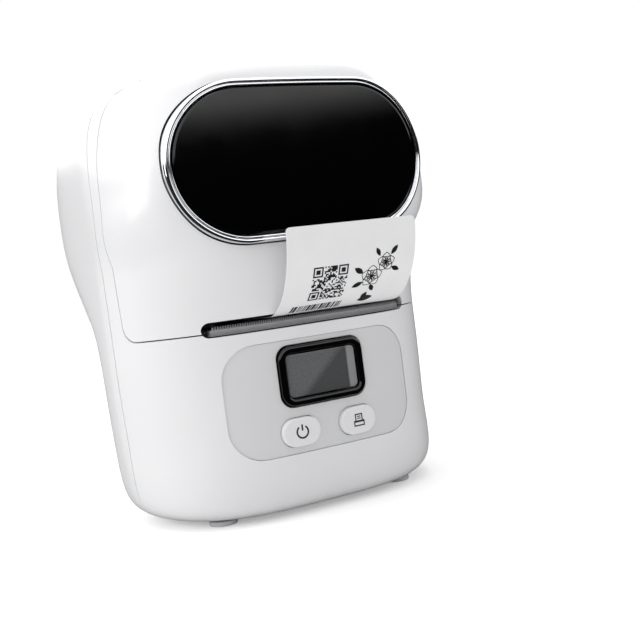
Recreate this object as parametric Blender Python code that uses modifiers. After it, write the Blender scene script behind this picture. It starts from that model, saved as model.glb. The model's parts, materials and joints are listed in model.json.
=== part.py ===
"""Portable thermal label printer, modelled as the separate pieces it is assembled from.

The printer stands on four rubber feet.  Depths are measured back from the lower front face, which faces -Y.
Heights are measured from a datum a little below the shell, DATUM_Z above the table under the feet.
Three shells make the case: a rear shell, a front shell and a lid that swings up about its top edge.
The lid carries the window and the rubber platen.  The print head, drive and label roll stay in the case.
"""
import math

import bmesh
import bpy

MM = 0.001
GAP = 0.3 * MM

# Case
FRONT_Y = -31.8 * MM
DATUM_Z = 1.6 * MM
HALF_WIDTH = 43.2 * MM
TOP_Z = 107.9 * MM
BOTTOM_Z = -1.0 * MM
WIDEST_DEPTH = 30.0 * MM
LOWER_DEPTH = 52.0 * MM
UPPER_DEPTH = 76.0 * MM
FRONT_BULGE = 4.3 * MM
BASE_TAPER = 1.0 * MM
WALL = 2.0 * MM
BEYOND = 60.0 * MM

# Where the case starts to close at its top and base, and how squarely it closes
TOP_WIDTH_START = 71.0 * MM
TOP_FRONT_START = 75.0 * MM
TOP_REAR_START = 78.0 * MM
BASE_START = 30.0 * MM
TOP_WIDTH_POWER = 5.6
TOP_FRONT_POWER = 7.0
TOP_REAR_POWER = 2.2
BASE_POWER = 8.0
BASE_REAR_POWER = 4.0
QUARTER_STEPS = 10
TOP_RINGS = 7
SIDE_RINGS = 13
BASE_RINGS = 5

# Seams
PARTING_DEPTH = 26.0 * MM
LID_DEPTH = 21.0 * MM
LID_SEAM_Z = 45.0 * MM
LID_CORNER = 4.0 * MM

# Lid hinge
HINGE_Z = 105.9 * MM
BARREL_R = 2.0 * MM
BARREL_HALF = 24.0 * MM
EAR_LENGTH = 3.6 * MM
HINGE_PIN_R = 0.8 * MM
SWING_HALF = 36.0 * MM

# Exit slot and tear bar
SLOT_Z = 45.7 * MM
SLOT_HALF_HEIGHT = 1.8 * MM
SLOT_HALF_LENGTH = 27.8 * MM
BAR_HEIGHT = 1.2 * MM

# Window
WINDOW_Z = 82.8 * MM
WINDOW_HALF_LENGTH = 32.2 * MM
WINDOW_HALF_HEIGHT = 16.9 * MM
WINDOW_RING = 1.7 * MM
WINDOW_RADIUS = 190.0 * MM
RING_FRONT = -6.3 * MM
RING_BACK = -2.2 * MM
LENS_FRONT = -5.8 * MM
LENS_BACK = -3.8 * MM

# Control panel, display and buttons
PANEL_HALF_WIDTH = 24.9 * MM
PANEL_LOW = 13.8 * MM
PANEL_HIGH = 40.9 * MM
PANEL_CORNER = 8.0 * MM
DISPLAY_HALF_WIDTH = 11.45 * MM
DISPLAY_LOW = 25.0 * MM
DISPLAY_HIGH = 39.4 * MM
DISPLAY_BORDER = 2.1 * MM
BUTTON_X = 7.8 * MM
BUTTON_Z = 18.9 * MM
BUTTON_HALF_WIDTH = 5.0 * MM
BUTTON_HALF_HEIGHT = 3.4 * MM
BUTTON_TRAVEL = 0.6 * MM

# Platen, print head and gear train
PLATEN_DEPTH = 15.0 * MM
PLATEN_Z = 51.3 * MM
PLATEN_R = 4.3 * MM
PLATEN_HALF = 25.0 * MM
SHAFT_R = 1.5 * MM
BUSHING_R = 2.9 * MM
ARM_X = 25.9 * MM
ARM_SHEET = 1.0 * MM
GEAR_MODULE = 0.5 * MM
GEAR_X = -28.8 * MM
GEAR_WIDTH = 2.4 * MM
PLATEN_TEETH = 20
IDLER_TEETH = 16
PINION_TEETH = 12
IDLER_SHAFT_R = 1.0 * MM
MOTOR_SHAFT_R = 0.8 * MM
MOTOR_R = 5.4 * MM
MOTOR_LENGTH = 9.6 * MM
HEAD_DEPTH = 19.8 * MM
HEAD_THICKNESS = 1.0 * MM

# Label roll and its guides
ROLL_DEPTH = 44.5 * MM
ROLL_Z = 79.5 * MM
ROLL_R = 19.0 * MM
ROLL_LEFT = -11.2 * MM
ROLL_RIGHT = 23.4 * MM
CORE_R = 8.7 * MM
CORE_BORE_R = 7.0 * MM
HUB_R = 6.5 * MM
CHEEK_THICKNESS = 1.6 * MM
RAIL_R = 1.5 * MM
RAIL_DEPTH = 30.0 * MM
RAIL_Z = 61.6 * MM
BIN_FLOOR = 57.2 * MM
BIN_FRONT = 24.5 * MM
BIN_HALF_WIDTH = 36.0 * MM
BIN_WALL = 1.5 * MM
BIN_INSET = 3.4 * MM

# Label strip that has left the slot
STRIP_THICKNESS = 0.16 * MM
STRIP_TOP_Z = 66.5 * MM
STRIP_FRONT = -12.3 * MM

# Feet and screws
FOOT_R = 3.5 * MM
FOOT_BASE = -DATUM_Z
FOOT_HEIGHT = 1.1 * MM
FOOT_X = 25.0 * MM
FOOT_DEPTHS = (14.0 * MM, 41.0 * MM)
SCREW_X = 31.0 * MM
SCREW_ZS = (13.0 * MM, 52.0 * MM)
SCREW_HEAD = 1.4 * MM
SCREW_SUNK = 0.2 * MM

COLOURS = {
    "case_white": ((0.86, 0.86, 0.87), 0.32, 0.0),
    "panel_white": ((0.78, 0.78, 0.79), 0.36, 0.0),
    "inner_grey": ((0.55, 0.56, 0.58), 0.5, 0.0),
    "gloss_black": ((0.008, 0.008, 0.009), 0.06, 0.0),
    "matte_black": ((0.02, 0.02, 0.022), 0.5, 0.0),
    "display_grey": ((0.10, 0.10, 0.105), 0.12, 0.0),
    "chrome": ((0.85, 0.86, 0.88), 0.06, 1.0),
    "steel": ((0.58, 0.59, 0.61), 0.3, 1.0),
    "aluminium": ((0.72, 0.73, 0.75), 0.35, 1.0),
    "rubber": ((0.03, 0.03, 0.032), 0.8, 0.0),
    "pale_rubber": ((0.60, 0.60, 0.61), 0.75, 0.0),
    "board_green": ((0.02, 0.16, 0.07), 0.5, 0.0),
    "gear_white": ((0.80, 0.80, 0.76), 0.45, 0.0),
    "battery_blue": ((0.05, 0.14, 0.38), 0.45, 0.0),
    "paper": ((0.90, 0.90, 0.90), 0.6, 0.0),
    "core_card": ((0.62, 0.58, 0.52), 0.8, 0.0),
}


# ---------------------------------------------------------------- scene helpers

def clear_scene():
    """Remove what a new file holds."""
    for thing in list(bpy.data.objects):
        bpy.data.objects.remove(thing, do_unlink=True)


def new_collection(name):
    """Add a collection to the scene."""
    group = bpy.data.collections.new(name)
    bpy.context.scene.collection.children.link(group)
    return group


def make_material(name):
    """Make one Principled material from the colour table."""
    colour, roughness, metallic = COLOURS[name]
    material = bpy.data.materials.get(name) or bpy.data.materials.new(name)
    material.use_nodes = True
    shader = material.node_tree.nodes["Principled BSDF"]
    shader.inputs["Base Color"].default_value = (*colour, 1.0)
    shader.inputs["Roughness"].default_value = roughness
    shader.inputs["Metallic"].default_value = metallic
    material.diffuse_color = (*colour, 1.0)
    return material


def new_axis(name, location, parent=None):
    """Add an empty that the pieces of one body hang on."""
    empty = bpy.data.objects.new(name, None)
    empty.empty_display_size = 0.01
    bpy.context.scene.collection.objects.link(empty)
    empty.location = location
    empty.parent = parent
    return empty


def object_from(mesh_data, name):
    """Turn an edit mesh into an object that is not in any collection yet."""
    mesh = bpy.data.meshes.new(name)
    mesh_data.to_mesh(mesh)
    mesh_data.free()
    return bpy.data.objects.new(name, mesh)


def place(thing, axis):
    """Hang an object, drawn in the printer's frame, on the empty of its body."""
    thing.parent = axis
    if axis.parent:
        thing.location = -axis.location


def finish(thing, material, axis, smooth=35.0):
    """Make an object a visible piece of one body."""
    PARTS.objects.link(thing)
    if thing.modifiers:
        facets = thing.modifiers.new("facets", "TRIANGULATE")
        facets.ngon_method = "BEAUTY"
    place(thing, axis)
    thing.data.materials.clear()
    thing.data.materials.append(make_material(material))
    thing.data.shade_smooth()
    thing.data.set_sharp_from_angle(angle=math.radians(smooth))
    return thing


def combine(thing, other, operation):
    """Cut, join or trim a piece with a hidden one, in the order given."""
    if other.name not in CUTTERS.objects:
        CUTTERS.objects.link(other)
        other.hide_render = True
        other.display_type = "WIRE"
        other.parent = FRAME
    modifier = thing.modifiers.new(operation.lower(), "BOOLEAN")
    modifier.operation = operation
    modifier.solver = "EXACT"
    modifier.object = other
    return thing


def cut(thing, *others):
    """Take other solids away from a piece."""
    for other in others:
        combine(thing, other, "DIFFERENCE")
    return thing


def join(thing, *others):
    """Add other solids to a piece."""
    for other in others:
        combine(thing, other, "UNION")
    return thing


def trim(thing, *others):
    """Keep only what a piece shares with other solids."""
    for other in others:
        combine(thing, other, "INTERSECT")
    return thing


# ---------------------------------------------------------------- basic solids

def block(name, low, high, radius=0.0, along="Y", steps=5):
    """A box between two corners, whose edges that run along one axis may be rounded."""
    mesh = bmesh.new()
    bmesh.ops.create_cube(mesh, size=1.0)
    for vertex in mesh.verts:
        for index in range(3):
            middle = (low[index] + high[index]) / 2
            vertex.co[index] = middle + vertex.co[index] * (high[index] - low[index])
    if radius > 0:
        index = "XYZ".index(along)
        edges = [
            edge for edge in mesh.edges
            if abs((edge.verts[0].co - edge.verts[1].co)[index]) > 1e-6
        ]
        bmesh.ops.bevel(mesh, geom=edges, offset=radius, segments=steps, profile=0.5, affect="EDGES")
    return object_from(mesh, name)


def cylinder(name, centre, radius, length, along="X", sides=24):
    """A closed cylinder about a line parallel to one axis."""
    mesh = bmesh.new()
    bmesh.ops.create_cone(
        mesh, cap_ends=True, segments=sides, radius1=radius, radius2=radius, depth=length
    )
    for vertex in mesh.verts:
        across, up, run = vertex.co
        if along == "X":
            vertex.co = (run, across, up)
        elif along == "Y":
            vertex.co = (up, run, across)
        vertex.co.x += centre[0]
        vertex.co.y += centre[1]
        vertex.co.z += centre[2]
    return object_from(mesh, name)


def ring(name, centre, outer, inner, length, along="X", sides=24):
    """A tube about a line parallel to one axis."""
    tube = cylinder(name, centre, outer, length, along, sides)
    hole = cylinder(name + "_bore", centre, inner, length + 2 * MM, along, sides)
    return cut(tube, hole)


def bend_across(thing, radius, cuts=10):
    """Curve a piece backwards at its sides, as on a cylinder about a vertical line."""
    mesh = bmesh.new()
    mesh.from_mesh(thing.data)
    reach = max(vertex.co.x for vertex in mesh.verts)
    for index in range(1, cuts):
        where = -reach + 2 * reach * index / cuts
        parts = list(mesh.verts) + list(mesh.edges) + list(mesh.faces)
        bmesh.ops.bisect_plane(mesh, geom=parts, dist=1e-7, plane_co=(where, 0, 0), plane_no=(1, 0, 0))
    for vertex in mesh.verts:
        vertex.co.y += vertex.co.x ** 2 / (2 * radius)
    mesh.to_mesh(thing.data)
    mesh.free()
    return thing


# ---------------------------------------------------------------- the case's outer form

def ease(value, low, high):
    """Rise smoothly from 0 at low to 1 at high."""
    share = min(max((value - low) / (high - low), 0.0), 1.0)
    return share * share * (3 - 2 * share)


def rounding(share, power):
    """How much of its full reach a wall keeps, part of the way to where it closes."""
    return max(0.0, 1.0 - min(max(share, 0.0), 1.0) ** power) ** (1 / power)


def ring_heights(inset):
    """Heights of the body's level rings, from its top to its base."""
    top = TOP_Z - inset
    base = BOTTOM_Z + inset
    heights = [top]
    for index in range(1, TOP_RINGS + 1):
        angle = math.radians(80) * (index / TOP_RINGS) ** 1.3
        heights.append(TOP_WIDTH_START + (top - TOP_WIDTH_START) * math.cos(angle) ** (1 / 3))
    low = [base]
    for index in range(1, BASE_RINGS + 1):
        angle = math.radians(80) * (index / BASE_RINGS) ** 1.3
        low.append(BASE_START - (BASE_START - base) * math.cos(angle) ** (1 / 4))
    for index in range(1, SIDE_RINGS):
        heights.append(heights[TOP_RINGS] + (low[-1] - heights[TOP_RINGS]) * index / SIDE_RINGS)
    return heights + low[::-1]


def level_shape(height, inset):
    """The body's reaches at one height, with its corner powers and how much its front narrows."""
    top = TOP_Z - inset
    base = BOTTOM_Z + inset
    high = height / MM
    width = (HALF_WIDTH - inset) - BASE_TAPER * (1 - ease(high, 0, 40))
    front = WIDEST_DEPTH - inset + FRONT_BULGE * ease(high, 44, 66)
    rear = LOWER_DEPTH + (UPPER_DEPTH - LOWER_DEPTH) * ease(high, 34, 76) - WIDEST_DEPTH - inset
    low_share = (BASE_START - height) / (BASE_START - base)
    width *= rounding((height - TOP_WIDTH_START) / (top - TOP_WIDTH_START), TOP_WIDTH_POWER)
    front *= rounding((height - TOP_FRONT_START) / (top - TOP_FRONT_START), TOP_FRONT_POWER)
    rear *= rounding((height - TOP_REAR_START) / (top - TOP_REAR_START), TOP_REAR_POWER)
    width *= rounding(low_share, BASE_POWER)
    front *= rounding(low_share, BASE_POWER)
    rear *= rounding(low_share, BASE_REAR_POWER)
    squareness = ease(high, 62, 82)
    return {
        "width": width,
        "front": front,
        "rear": rear,
        "side_power": 3.4 + 5.6 * squareness,
        "front_power": 1.5 + 3.5 * squareness + 0.35 * (1 - ease(high, 0, 22)),
        "rear_power": 3.5 + 2.5 * ease(high, 45, 70),
        "narrowing": 0.14 * squareness + 0.2 * ease(high, 82, 102),
    }


def quarter(shape, is_front, angle):
    """A point of a level ring, a quarter turn running from the front or rear middle to the widest place."""
    if is_front:
        reach = math.cos(angle) ** (2 / shape["front_power"])
        across = math.sin(angle) ** (2 / shape["side_power"])
        across *= 1 - shape["narrowing"] * reach ** 1.3
        return (shape["width"] * across, WIDEST_DEPTH - shape["front"] * reach)
    reach = math.cos(angle) ** (2 / shape["rear_power"])
    across = math.sin(angle) ** (2 / shape["rear_power"])
    return (shape["width"] * across, WIDEST_DEPTH + shape["rear"] * reach)


def spaced_quarter(shape, is_front, steps):
    """Points along a quarter ring, closer together where it bends."""
    fine = 120
    points = [quarter(shape, is_front, math.pi / 2 * index / fine) for index in range(fine)]
    points.append((shape["width"], WIDEST_DEPTH))
    runs = [math.dist(first, second) for first, second in zip(points, points[1:])]
    headings = [math.atan2(b[1] - a[1], b[0] - a[0]) for a, b in zip(points, points[1:])]
    turns = [0.0] + [abs(b - a) for a, b in zip(headings, headings[1:])]
    total_run = sum(runs)
    total_turn = sum(turns)
    travelled = [0.0]
    for run, turn in zip(runs, turns):
        travelled.append(travelled[-1] + 0.5 * run / total_run + 0.5 * turn / total_turn)
    spaced = []
    place_index = 0
    for index in range(steps):
        target = travelled[-1] * index / steps
        while travelled[place_index + 1] < target:
            place_index += 1
        span = travelled[place_index + 1] - travelled[place_index]
        share = (target - travelled[place_index]) / span
        first, second = points[place_index], points[place_index + 1]
        across = first[0] + (second[0] - first[0]) * share
        spaced.append((across, first[1] + (second[1] - first[1]) * share))
    return spaced


def level_ring(height, inset):
    """The right half of a level ring from front to rear, and its left half back, as one closed loop."""
    shape = level_shape(height, inset)
    if min(shape["width"], shape["front"], shape["rear"]) < 1e-6:
        return [(0.0, WIDEST_DEPTH)] * (4 * QUARTER_STEPS)
    ahead = spaced_quarter(shape, True, QUARTER_STEPS)
    behind = spaced_quarter(shape, False, QUARTER_STEPS)
    right = ahead + [(shape["width"], WIDEST_DEPTH)] + behind[:0:-1] + [behind[0]]
    left = [(-across, depth) for across, depth in right[-2:0:-1]]
    return right + left


def body_solid(name, inset=0.0):
    """The case's outer form as a closed solid, or the same form a little further in."""
    heights = ring_heights(inset)
    rings = len(heights) - 1
    segments = 4 * QUARTER_STEPS
    loops = [level_ring(height, inset) for height in heights]
    mesh = bmesh.new()
    bmesh.ops.create_uvsphere(mesh, u_segments=segments, v_segments=rings, radius=1.0)
    for vertex in mesh.verts:
        level = round(math.acos(max(-1.0, min(1.0, vertex.co.z))) / math.pi * rings)
        turn = math.atan2(vertex.co.x, -vertex.co.y) % (2 * math.pi)
        across, depth = loops[level][round(turn / (2 * math.pi) * segments) % segments]
        vertex.co = (across, depth, heights[level])
    return object_from(mesh, name)


def layer(name, outer, inner, *limits):
    """A skin of the case between two depths under its surface, trimmed by other solids."""
    skin = body_solid(name, outer)
    trim(skin, *limits)
    return cut(skin, body_solid(name + "_inside", inner))


def lid_region(name, grow):
    """The space that the lid takes up, or that much more of it."""
    mesh = bmesh.new()
    bmesh.ops.create_cube(mesh, size=1.0)
    low = (-BEYOND, -BEYOND, LID_SEAM_Z - grow)
    high = (BEYOND, LID_DEPTH + grow, TOP_Z + BEYOND)
    for vertex in mesh.verts:
        for index in range(3):
            vertex.co[index] = high[index] if vertex.co[index] > 0 else low[index]
    corner = [
        edge for edge in mesh.edges
        if all(abs(v.co.y - high[1]) < 1e-6 and abs(v.co.z - low[2]) < 1e-6 for v in edge.verts)
    ]
    bmesh.ops.bevel(mesh, geom=corner, offset=LID_CORNER, segments=5, profile=0.5, affect="EDGES")
    return object_from(mesh, name)


def slot_cutter(name):
    """The exit slot's opening."""
    low = (-SLOT_HALF_LENGTH, -20 * MM, SLOT_Z - SLOT_HALF_HEIGHT)
    high = (SLOT_HALF_LENGTH, 16 * MM, SLOT_Z + SLOT_HALF_HEIGHT)
    return block(name, low, high, SLOT_HALF_HEIGHT - 0.02 * MM, "Y", 6)


# ---------------------------------------------------------------- case pieces

def foot_centres():
    """Centres of the four feet."""
    return [(side * FOOT_X, depth, FOOT_BASE) for depth in FOOT_DEPTHS for side in (-1, 1)]


def screw_centres():
    """Where the four case screws enter the rear shell."""
    return [(side * SCREW_X, high) for high in SCREW_ZS for side in (-1, 1)]


def foot_pocket(index, centre):
    """The pocket that a foot is glued in."""
    return cylinder(f"foot_pocket_{index}", centre, FOOT_R + GAP, 3.0 * MM, "Z")


def rear_depth(across, height, inset=0.0):
    """Depth of the rear wall's outside at one place."""
    shape = level_shape(height, inset)
    return WIDEST_DEPTH + shape["rear"] * rounding(abs(across) / shape["width"], shape["rear_power"])


def build_rear_shell():
    """The rear half of the case, with screw bosses and the charging socket's opening."""
    low = (-BEYOND, PARTING_DEPTH + GAP, -BEYOND)
    behind = block("rear_region", low, (BEYOND, UPPER_DEPTH + BEYOND, TOP_Z + BEYOND))
    shell = layer("rear_shell", 0.0, WALL, behind)
    for index, (across, high) in enumerate(screw_centres()):
        depth = rear_depth(across, high)
        start = PARTING_DEPTH + 8 * MM
        centre = (across, (start + depth + 4 * MM) / 2, high)
        boss = cylinder(f"screw_boss_{index}", centre, 3.6 * MM, depth + 4 * MM - start, "Y", 16)
        trim(boss, body_solid(f"boss_limit_{index}", 0.6 * MM))
        join(shell, boss)
        pocket = (across, depth + 3 * MM, high)
        cut(shell, cylinder(f"screw_pocket_{index}", pocket, 2.6 * MM, 10.4 * MM, "Y", 16))
        cut(shell, cylinder(f"screw_hole_{index}", pocket, 1.5 * MM, 80 * MM, "Y", 12))
    for index, centre in enumerate(foot_centres()[2:]):
        cut(shell, foot_pocket(index + 2, centre))
    low = (-5 * MM, 40 * MM, 11.8 * MM)
    cut(shell, block("socket_opening", low, (5 * MM, 60 * MM, 16.2 * MM), 2.1 * MM))
    finish(shell, "case_white", FRAME)


def build_screws():
    """Four case screws, each in its own boss."""
    for index, (across, high) in enumerate(screw_centres()):
        depth = rear_depth(across, high)
        head_back = depth - SCREW_SUNK
        middle = (across, head_back - SCREW_HEAD / 2, high)
        head = cylinder(f"screw_{index + 1}", middle, 2.2 * MM, SCREW_HEAD, "Y", 16)
        shank = (across, head_back - 7.2 * MM, high)
        join(head, cylinder(f"screw_shank_{index}", shank, 1.15 * MM, 12 * MM, "Y", 12))
        cut(head, block(
            f"screw_slot_{index}",
            (across - 0.25 * MM, head_back - SCREW_HEAD / 2, high - 1.5 * MM),
            (across + 0.25 * MM, head_back + 1 * MM, high + 1.5 * MM),
        ))
        finish(head, "steel", FRAME)


def build_feet():
    """Four rubber feet."""
    for index, centre in enumerate(foot_centres()):
        middle = (centre[0], centre[1], FOOT_BASE + FOOT_HEIGHT / 2)
        finish(cylinder(f"foot_{index + 1}", middle, FOOT_R, FOOT_HEIGHT, "Z"), "pale_rubber", FRAME)


def hinge_centre(across=0.0):
    """A point on the lid's hinge line."""
    return (across, LID_DEPTH, HINGE_Z)


def build_front_shell():
    """The lower front and the arch that runs over the lid, with two hinge ears."""
    high = (BEYOND, PARTING_DEPTH, TOP_Z + BEYOND)
    ahead = block("front_region", (-BEYOND, -BEYOND, -BEYOND), high)
    shell = layer("front_shell", 0.0, WALL, ahead)
    cut(shell, lid_region("lid_clearance", GAP), slot_cutter("slot_in_front"))
    cut(shell, panel_outline("panel_opening", GAP))
    cut(shell, cylinder("barrel_clearance", hinge_centre(), BARREL_R + GAP, 76 * MM, "X", 32))
    low = (-SWING_HALF, LID_DEPTH - 1 * MM, HINGE_Z)
    high = (SWING_HALF, LID_DEPTH + BARREL_R + GAP, HINGE_Z + 6 * MM)
    cut(shell, block("swing_clearance", low, high))
    for side in (-1, 1):
        middle = side * (BARREL_HALF + 2 * GAP + EAR_LENGTH / 2)
        ear = cylinder(f"hinge_ear_{side}", hinge_centre(middle), BARREL_R, EAR_LENGTH, "X", 24)
        low = (middle - EAR_LENGTH / 2, LID_DEPTH, HINGE_Z - 1 * MM)
        high = (middle + EAR_LENGTH / 2, PARTING_DEPTH - 0.1 * MM, HINGE_Z + 0.8 * MM)
        join(shell, ear, block(f"ear_root_{side}", low, high))
    cut(shell, cylinder("pin_hole_in_ears", hinge_centre(), HINGE_PIN_R + GAP, 60 * MM, "X", 12))
    for index, centre in enumerate(foot_centres()[:2]):
        cut(shell, foot_pocket(index, centre))
    finish(shell, "case_white", FRAME)


def panel_outline(name, grow):
    """A rounded block through the front where the control panel sits."""
    low = (-PANEL_HALF_WIDTH - grow, -20 * MM, PANEL_LOW - grow)
    high = (PANEL_HALF_WIDTH + grow, 16 * MM, PANEL_HIGH + grow)
    return block(name, low, high, PANEL_CORNER + grow, "Y", 6)


def display_outline(name, grow):
    """A rounded block through the front where the display's frame sits."""
    low = (-DISPLAY_HALF_WIDTH - grow, -20 * MM, DISPLAY_LOW - grow)
    high = (DISPLAY_HALF_WIDTH + grow, 16 * MM, DISPLAY_HIGH + grow)
    return block(name, low, high, 3 * MM + grow, "Y", 5)


def button_outline(name, side, grow):
    """A pill-shaped block through the front where one button sits."""
    middle = side * BUTTON_X
    low = (middle - BUTTON_HALF_WIDTH - grow, -20 * MM, BUTTON_Z - BUTTON_HALF_HEIGHT - grow)
    high = (middle + BUTTON_HALF_WIDTH + grow, 16 * MM, BUTTON_Z + BUTTON_HALF_HEIGHT + grow)
    return block(name, low, high, BUTTON_HALF_HEIGHT + grow - 0.05 * MM, "Y", 6)


def build_control_panel():
    """The inlaid panel, the display in it and the two buttons below."""
    panel = layer("control_panel", 0.3 * MM, 1.9 * MM, panel_outline("panel_limit", 0.0))
    cut(panel, display_outline("display_opening", GAP))
    for side in (-1, 1):
        cut(panel, button_outline(f"button_opening_{side}", side, GAP))
    finish(panel, "panel_white", FRAME)

    inner = DISPLAY_HALF_WIDTH - DISPLAY_BORDER
    glass_low = (-inner, -20 * MM, DISPLAY_LOW + DISPLAY_BORDER)
    glass_high = (inner, 16 * MM, DISPLAY_HIGH - DISPLAY_BORDER)
    bezel = layer("display_bezel", -0.2 * MM, 2.2 * MM, display_outline("display_limit", 0.0))
    grown_low = (glass_low[0] - GAP, glass_low[1], glass_low[2] - GAP)
    grown_high = (glass_high[0] + GAP, glass_high[1], glass_high[2] + GAP)
    cut(bezel, block("glass_opening", grown_low, grown_high, 1.3 * MM))
    finish(bezel, "gloss_black", FRAME)
    limit = block("glass_limit", glass_low, glass_high, 1.0 * MM)
    finish(layer("display_glass", 0.1 * MM, 1.2 * MM, limit), "display_grey", FRAME)
    module_low = (-DISPLAY_HALF_WIDTH, 2.8 * MM, DISPLAY_LOW)
    module_high = (DISPLAY_HALF_WIDTH, 5.0 * MM, DISPLAY_HIGH)
    finish(block("lcd_module", module_low, module_high, 0.6 * MM), "steel", FRAME)

    for side, name in ((-1, "power_button"), (1, "feed_button")):
        axis = new_axis(name + "_axis", (side * BUTTON_X, 0.0, BUTTON_Z), FRAME)
        button = layer(name, -0.35 * MM, 2.4 * MM, button_outline(name + "_limit", side, 0.0))
        stem = (side * BUTTON_X, 3.8 * MM, BUTTON_Z)
        join(button, cylinder(name + "_stem", stem, 1.2 * MM, 3.4 * MM, "Y", 12))
        finish(button, "case_white", axis)
        low = (side * BUTTON_X - 2.5 * MM, 6.5 * MM, BUTTON_Z - 2.5 * MM)
        high = (side * BUTTON_X + 2.5 * MM, 8.7 * MM, BUTTON_Z + 2.5 * MM)
        finish(block(name.replace("button", "switch"), low, high, 0.3 * MM), "matte_black", FRAME)


def build_exit_slot():
    """The tear bar on the slot's lower lip, and the dark throat behind it."""
    floor = SLOT_Z - SLOT_HALF_HEIGHT
    low = (-27.0 * MM, -20 * MM, floor + GAP)
    high = (27.0 * MM, 12 * MM, floor + GAP + BAR_HEIGHT)
    finish(layer("tear_bar", 0.8 * MM, 2.0 * MM, block("tear_bar_limit", low, high)), "steel", FRAME)
    low = (-26.5 * MM, 7.6 * MM, 42.0 * MM)
    high = (26.5 * MM, 17.4 * MM, 45.8 * MM)
    finish(block("exit_throat", low, high, 0.8 * MM, "X", 3), "matte_black", FRAME)


def build_electronics():
    """The board, battery and charging socket inside the lower case."""
    low = (-24 * MM, 9 * MM, 9 * MM)
    finish(block("main_pcb", low, (24 * MM, 10.4 * MM, 41 * MM), 1 * MM), "board_green", FRAME)
    low = (-24 * MM, 14 * MM, 5 * MM)
    finish(block("battery_pack", low, (24 * MM, 38 * MM, 24 * MM), 3 * MM, "X"), "battery_blue", FRAME)
    back = rear_depth(0.0, 14 * MM) - 0.6 * MM
    low = (-4.5 * MM, back - 7.4 * MM, 12.4 * MM)
    socket = block("usb_socket", low, (4.5 * MM, back, 15.6 * MM), 1.5 * MM)
    low = (-4.1 * MM, back - 6.4 * MM, 12.8 * MM)
    cut(socket, block("socket_mouth", low, (4.1 * MM, back + 1 * MM, 15.2 * MM), 1.1 * MM))
    finish(socket, "steel", FRAME)


# ---------------------------------------------------------------- lid pieces

def window_outline(name, grow, front, back):
    """A stadium-shaped block for the window, its ring or its opening."""
    low = (-WINDOW_HALF_LENGTH - grow, front, WINDOW_Z - WINDOW_HALF_HEIGHT - grow)
    high = (WINDOW_HALF_LENGTH + grow, back, WINDOW_Z + WINDOW_HALF_HEIGHT + grow)
    return block(name, low, high, WINDOW_HALF_HEIGHT + grow - 0.2 * MM, "Y", 9)


def build_lid(axis):
    """The lid's shell with its hinge barrel, the window in it and the liner behind."""
    shell = layer("lid_shell", 0.0, WALL, lid_region("lid_limit", 0.0))
    opening = window_outline("window_opening", WINDOW_RING + GAP, -20 * MM, 12 * MM)
    cut(shell, slot_cutter("slot_in_lid"), opening)
    for side in (-1, 1):
        middle = side * (BARREL_HALF + 2 * GAP + EAR_LENGTH / 2)
        low = (middle - EAR_LENGTH / 2 - GAP, LID_DEPTH - BARREL_R - GAP, HINGE_Z - 5 * MM)
        high = (middle + EAR_LENGTH / 2 + GAP, LID_DEPTH + 4 * MM, HINGE_Z + 5 * MM)
        cut(shell, block(f"ear_notch_{side}", low, high))
    join(shell, cylinder("hinge_barrel", hinge_centre(), BARREL_R, 2 * BARREL_HALF, "X", 24))
    cut(shell, cylinder("pin_hole_in_barrel", hinge_centre(), HINGE_PIN_R + GAP, 60 * MM, "X", 12))
    finish(shell, "case_white", axis)

    ring_piece = window_outline("window_ring", WINDOW_RING, RING_FRONT, RING_BACK)
    bend_across(ring_piece, WINDOW_RADIUS)
    hole = window_outline("ring_opening", 0.0, RING_FRONT - 2 * MM, RING_BACK + 2 * MM)
    bend_across(hole, WINDOW_RADIUS)
    finish(cut(ring_piece, hole), "chrome", axis)
    lens = window_outline("window_lens", -GAP, LENS_FRONT, LENS_BACK)
    finish(bend_across(lens, WINDOW_RADIUS), "gloss_black", axis)

    low = (-34 * MM, -20 * MM, 64 * MM)
    high = (34 * MM, 17 * MM, 101.5 * MM)
    limit = block("liner_limit", low, high, 6 * MM)
    finish(layer("lid_liner", WALL + 2.2 * MM, WALL + 3.4 * MM, limit), "inner_grey", axis)


def build_platen_frame(axis):
    """The sheet-metal frame in the lid that holds the platen's bushings."""
    outer = ARM_X + ARM_SHEET
    web = block("platen_frame", (-outer, 7.0 * MM, 57 * MM), (outer, 8.0 * MM, 63 * MM))
    for side in (-1, 1):
        near = min(side * ARM_X, side * outer)
        far = max(side * ARM_X, side * outer)
        join(web, block(f"arm_top_{side}", (near, 7.0 * MM, 56 * MM), (far, 19.3 * MM, 63 * MM)))
        low = (near, 10.4 * MM, 47.6 * MM)
        join(web, block(f"arm_{side}", low, (far, 19.3 * MM, 58 * MM), 2 * MM, "X", 3))
    cut(web, cylinder("bushing_holes", (0, PLATEN_DEPTH, PLATEN_Z), BUSHING_R + GAP, 70 * MM, "X", 20))
    finish(web, "steel", axis)
    for side, name in ((-1, "platen_bushing_left"), (1, "platen_bushing_right")):
        centre = (side * (ARM_X + ARM_SHEET / 2), PLATEN_DEPTH, PLATEN_Z)
        finish(ring(name, centre, BUSHING_R, SHAFT_R + GAP, 1.4 * MM, "X", 20), "gear_white", axis)


def build_platen(axis):
    """The rubber roller that feeds the labels, on its steel shaft."""
    centre = (0.0, PLATEN_DEPTH, PLATEN_Z)
    rubber = ring("platen_rubber", centre, PLATEN_R, SHAFT_R + GAP, 2 * PLATEN_HALF, "X", 28)
    finish(rubber, "rubber", axis)
    middle = (-1.2 * MM, PLATEN_DEPTH, PLATEN_Z)
    finish(cylinder("platen_shaft", middle, SHAFT_R, 57.8 * MM, "X", 20), "steel", axis)


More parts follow.
